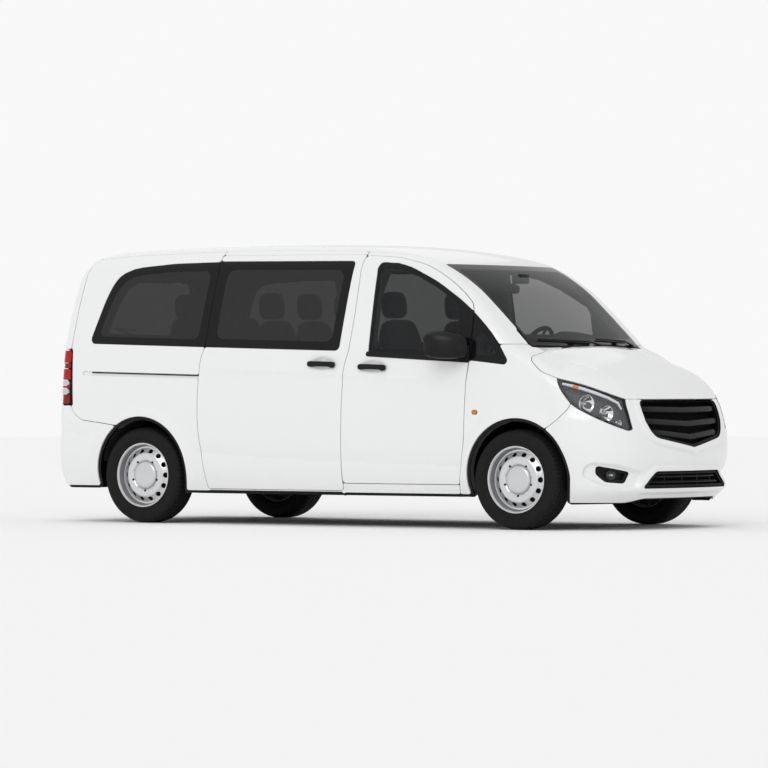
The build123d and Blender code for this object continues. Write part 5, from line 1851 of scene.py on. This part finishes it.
def dashboard_pad():
    """The panel's padded form, with a hood before the driver and a console under its middle."""
    rings = []
    for y in np.linspace(-0.800, 0.800, 49):
        hood = 0.040 * math.exp(-((y - DRIVER_Y) / 0.16) ** 4)
        bulge = 0.020 * math.exp(-(y / 0.20) ** 4)
        fall = 0.050 * ease(abs(y), 0.55, 0.80)
        rings.append([(1.445, y, 0.835), (1.445, y, 1.200), (1.400, y, 1.290 - fall),
                      (1.300, y, 1.336 - fall), (1.190, y, 1.344 + hood * 0.4 - fall),
                      (1.120, y, 1.336 + hood * 0.8 - fall), (1.070, y, 1.300 + hood - fall),
                      (1.045, y, 1.220 + hood), (1.040 - bulge, y, 1.120), (1.030 - bulge, y, 1.050),
                      (1.040 - bulge, y, 0.980), (1.080, y, 0.930), (1.085, y, 0.870), (1.130, y, 0.835)])
    shape = loft(rings).join(block(1.050, 1.300, -0.185, 0.185, 0.702, 0.865, 0.02, 3))
    build("dashboard_pad", shape, [TRIM], "root", ["dashboard"])


def dashboard_parts():
    """Vents with louvres, the screen and its surround, the column and the dials' dark face."""
    parts = Shape()
    for y in (-0.70, -0.10, 0.10, 0.70):
        parts.join(block(1.022, 1.046, y - 0.055, y + 0.055, 1.040, 1.098, 0.008, 3))
        for k in range(4):
            z = 1.047 + 0.012 * k
            parts.join(block(1.016, 1.024, y - 0.048, y + 0.048, z, z + 0.005, 0.0015, 1, 1))
    parts.join(block(1.008, 1.030, -0.120, 0.120, 0.905, 1.025, 0.008, 3))
    parts.join(block(1.004, 1.010, -0.105, 0.105, 0.925, 1.012, 0.002, 1, 1))
    column = [(1.030, DRIVER_Y, 1.150), (1.000, DRIVER_Y, 1.165), (0.955, DRIVER_Y, 1.190)]
    parts.join(rod(column, [0.050, 0.046, 0.040], 20))
    parts.join(block(1.044, 1.060, DRIVER_Y - 0.110, DRIVER_Y + 0.110, 1.130, 1.205, 0.01, 3, 1))
    build("dashboard_parts", parts, [BLACK, GLOSS], "root", ["dashboard"])


dashboard_pad()
dashboard_parts()


def inner_mirror():
    """The inside mirror and the box behind it at the windscreen's top."""
    shape = welded(cushion((0.020, 0.118, 0.034), 3.5, 8)).moved(Matrix.Translation((0.900, 0.0, 1.665)))
    top = front_x(0.0, 1.735) - 0.020
    shape.join(rod([(0.905, 0, 1.672), (0.925, 0, 1.700), (top - 0.006, 0, 1.722)], 0.008, 10))
    shape.join(block(top - 0.085, top - 0.004, -0.060, 0.060, 1.700, 1.770, 0.015, 3))
    build("inner_mirror", shape, [BLACK], "root")


inner_mirror()


# ---- tail --------------------------------------------------------------------
def rear_x(y, z):
    return float(cast(np.array([[-1.2, y, z]]), np.array([[-1.0, 0.0, 0.0]]))[0][0])


def plate_and_handle():
    """The blank plate, and the handle strip over it."""
    plate_x, plate_z, handle_z = rear_x(0.0, 0.95) - 0.0015, 0.905, 1.035
    plate = bevelled(rectangle(0.260, 0.056, 0.012), 0.0, 0.004, 0.0015, 1)
    rings = []
    for y in np.linspace(-0.330, 0.330, 21):
        end = ease(abs(y), 0.29, 0.33)
        h, d, x = 0.021 * (1 - 0.6 * end), 0.020 * (1 - 0.8 * end), rear_x(y, handle_z)
        rings.append([(x + 0.004, y, handle_z - h), (x - d * 0.6, y, handle_z - h),
                      (x - d, y, handle_z - h * 0.5), (x - d, y, handle_z + h * 0.3),
                      (x - d * 0.5, y, handle_z + h), (x + 0.004, y, handle_z + h)])
    shape = on_axes(plate, (0, 1, 0), (0, 0, 1), (-1, 0, 0), (plate_x, 0, plate_z)).join(loft(rings))
    build("tailgate_plate_and_handle", shape, [BLACK, PLATE], "tailgate")


def high_brake_light():
    rings = []
    for y in np.linspace(-0.150, 0.150, 13):
        x = rear_x(y, 1.835)
        rings.append([(x + 0.004, y, 1.826), (x - 0.004, y, 1.824), (x - 0.004, y, 1.844),
                      (x + 0.006, y, 1.846)])
    build("high_brake_light", loft(rings), [RED], "tailgate")


def tail_wiper():
    blade = []
    for t in np.linspace(0, 1, 9):
        y, z = 0.02 - 0.36 * t, 1.395 + 0.01 * t
        blade.append((rear_x(y, z) - 0.008, y, z))
    base = (rear_x(0.0, 1.330) - 0.012, 0.10, 1.340)
    arm = bowed(base, blade[5], 7, (-0.010, 0.0, 0.0))
    shape = rod(blade, 0.0045, 8, flat=1.6, up=(1, 0, 0)).join(rod(arm, 0.007, 10, flat=0.7))
    shape.join(block(base[0] - 0.008, base[0] + 0.016, 0.080, 0.122, 1.318, 1.362, 0.008, 3))
    build("tail_wiper", shape, [BLACK], "tailgate")


def rear_reflectors():
    spots = Shape()
    for y in (-0.76, 0.76):
        x = rear_x(y, 0.50)
        spots.join(block(x - 0.004, x + 0.020, y - 0.055, y + 0.055, 0.482, 0.518, 0.004, 2))
    build("rear_reflectors", spots, [RED], "root", ["rear_bumper"])


plate_and_handle()
high_brake_light()
tail_wiper()
rear_reflectors()


# ---- carried-over solids -----------------------------------------------------
def dress_solids():
    """Gives a finish to the nodes that are shown as they are."""
    finishes = {"floor": UNDERSEAL, "engine": CAST, "front_subframe": CHASSIS, "rear_axle": CHASSIS,
                "underbody": CHASSIS, "knuckle_right": CHASSIS, "knuckle_left": CHASSIS}
    for node, material in finishes.items():
        solid = frame["nodes"][node]
        solid.data.materials.clear()
        solid.data.materials.append(material)


dress_solids()


# ---- camera, floor and light -------------------------------------------------
AIM = Vector((0.0, 0.0, 0.9))
CAMERA_AZIMUTH, CAMERA_HEIGHT, CAMERA_DISTANCE = math.radians(34.3), math.radians(0.15), 36.0
LENS, SENSOR = 236.2, 36.0
FRAME_SHIFT = (-0.0262, 0.0175)
FLOOR_R = 60.0
HORIZON_LIGHT, ZENITH_LIGHT, BACKDROP = 1.0, 0.92, 0.94
LAMPS = (("key", (1.0, -2.8, 2.2), 40, 0.75), ("back", (-3.0, 1.5, 2.0), 70, 0.20))


def add_camera():
    """A long lens at the front right, level with the vehicle."""
    camera = bpy.data.cameras.new("camera")
    camera.lens, camera.sensor_width = LENS, SENSOR
    camera.shift_x, camera.shift_y = FRAME_SHIFT
    camera.clip_end = 200.0
    holder = bpy.data.objects.new("camera", camera)
    a, e = CAMERA_AZIMUTH, CAMERA_HEIGHT
    away = Vector((math.sin(a) * math.cos(e), -math.cos(a) * math.cos(e), math.sin(e)))
    holder.location = AIM + away * CAMERA_DISTANCE
    holder.rotation_euler = (-away).to_track_quat("-Z", "Y").to_euler()
    bpy.context.scene.collection.objects.link(holder)
    bpy.context.scene.camera = holder


def add_floor():
    """A pale round floor, wide enough to hide its edge."""
    mesh = bpy.data.meshes.new("floor_plane")
    turns = [2 * math.pi * i / 64 for i in range(64)]
    mesh.from_pydata([(FLOOR_R * math.cos(t), FLOOR_R * math.sin(t), 0.0) for t in turns], [],
                     [tuple(range(64))])
    mesh.materials.append(Finish("floor_pale", (0.975, 0.975, 0.975), 0.9, Specular_IOR_Level=0.0).material)
    floor = bpy.data.objects.new("floor_plane", mesh)
    bpy.context.scene.collection.objects.link(floor)


def add_world():
    """Even light from all round, and a plain pale backdrop where the camera looks."""
    world = bpy.data.worlds.new("studio")
    bpy.context.scene.world = world
    world.use_nodes = True
    studio = Nodes(world.node_tree)
    where = studio.node("ShaderNodeTexCoord", out="Generated")
    height = studio.node("ShaderNodeSeparateXYZ", {}, {0: where}, out="Z")
    light = studio.node("ShaderNodeMapRange", {"interpolation_type": "SMOOTHSTEP"},
                        {"Value": height, "From Min": -0.05, "From Max": 0.75, "To Min": HORIZON_LIGHT,
                         "To Max": ZENITH_LIGHT}, out="Result")
    soft = studio.node("ShaderNodeBackground", {}, {"Strength": light})
    plain = studio.node("ShaderNodeBackground", {}, {"Color": (1, 1, 1, 1), "Strength": BACKDROP})
    seen = studio.node("ShaderNodeLightPath", out="Is Camera Ray")
    mix = studio.node("ShaderNodeMixShader", {}, {0: seen, 1: soft, 2: plain})
    studio.add("ShaderNodeOutputWorld", {}, {"Surface": mix})


def add_lamps():
    """A soft key lamp at the front right, and a weak one behind."""
    for name, place, spread, power in LAMPS:
        lamp = bpy.data.lights.new(name, "SUN")
        lamp.angle, lamp.energy = math.radians(spread), power
        holder = bpy.data.objects.new(name, lamp)
        holder.location = place
        holder.rotation_euler = Vector(place).to_track_quat("Z", "Y").to_euler()
        bpy.context.scene.collection.objects.link(holder)


add_camera()
add_floor()
add_world()
add_lamps()
bpy.context.scene.view_settings.view_transform = "Standard"
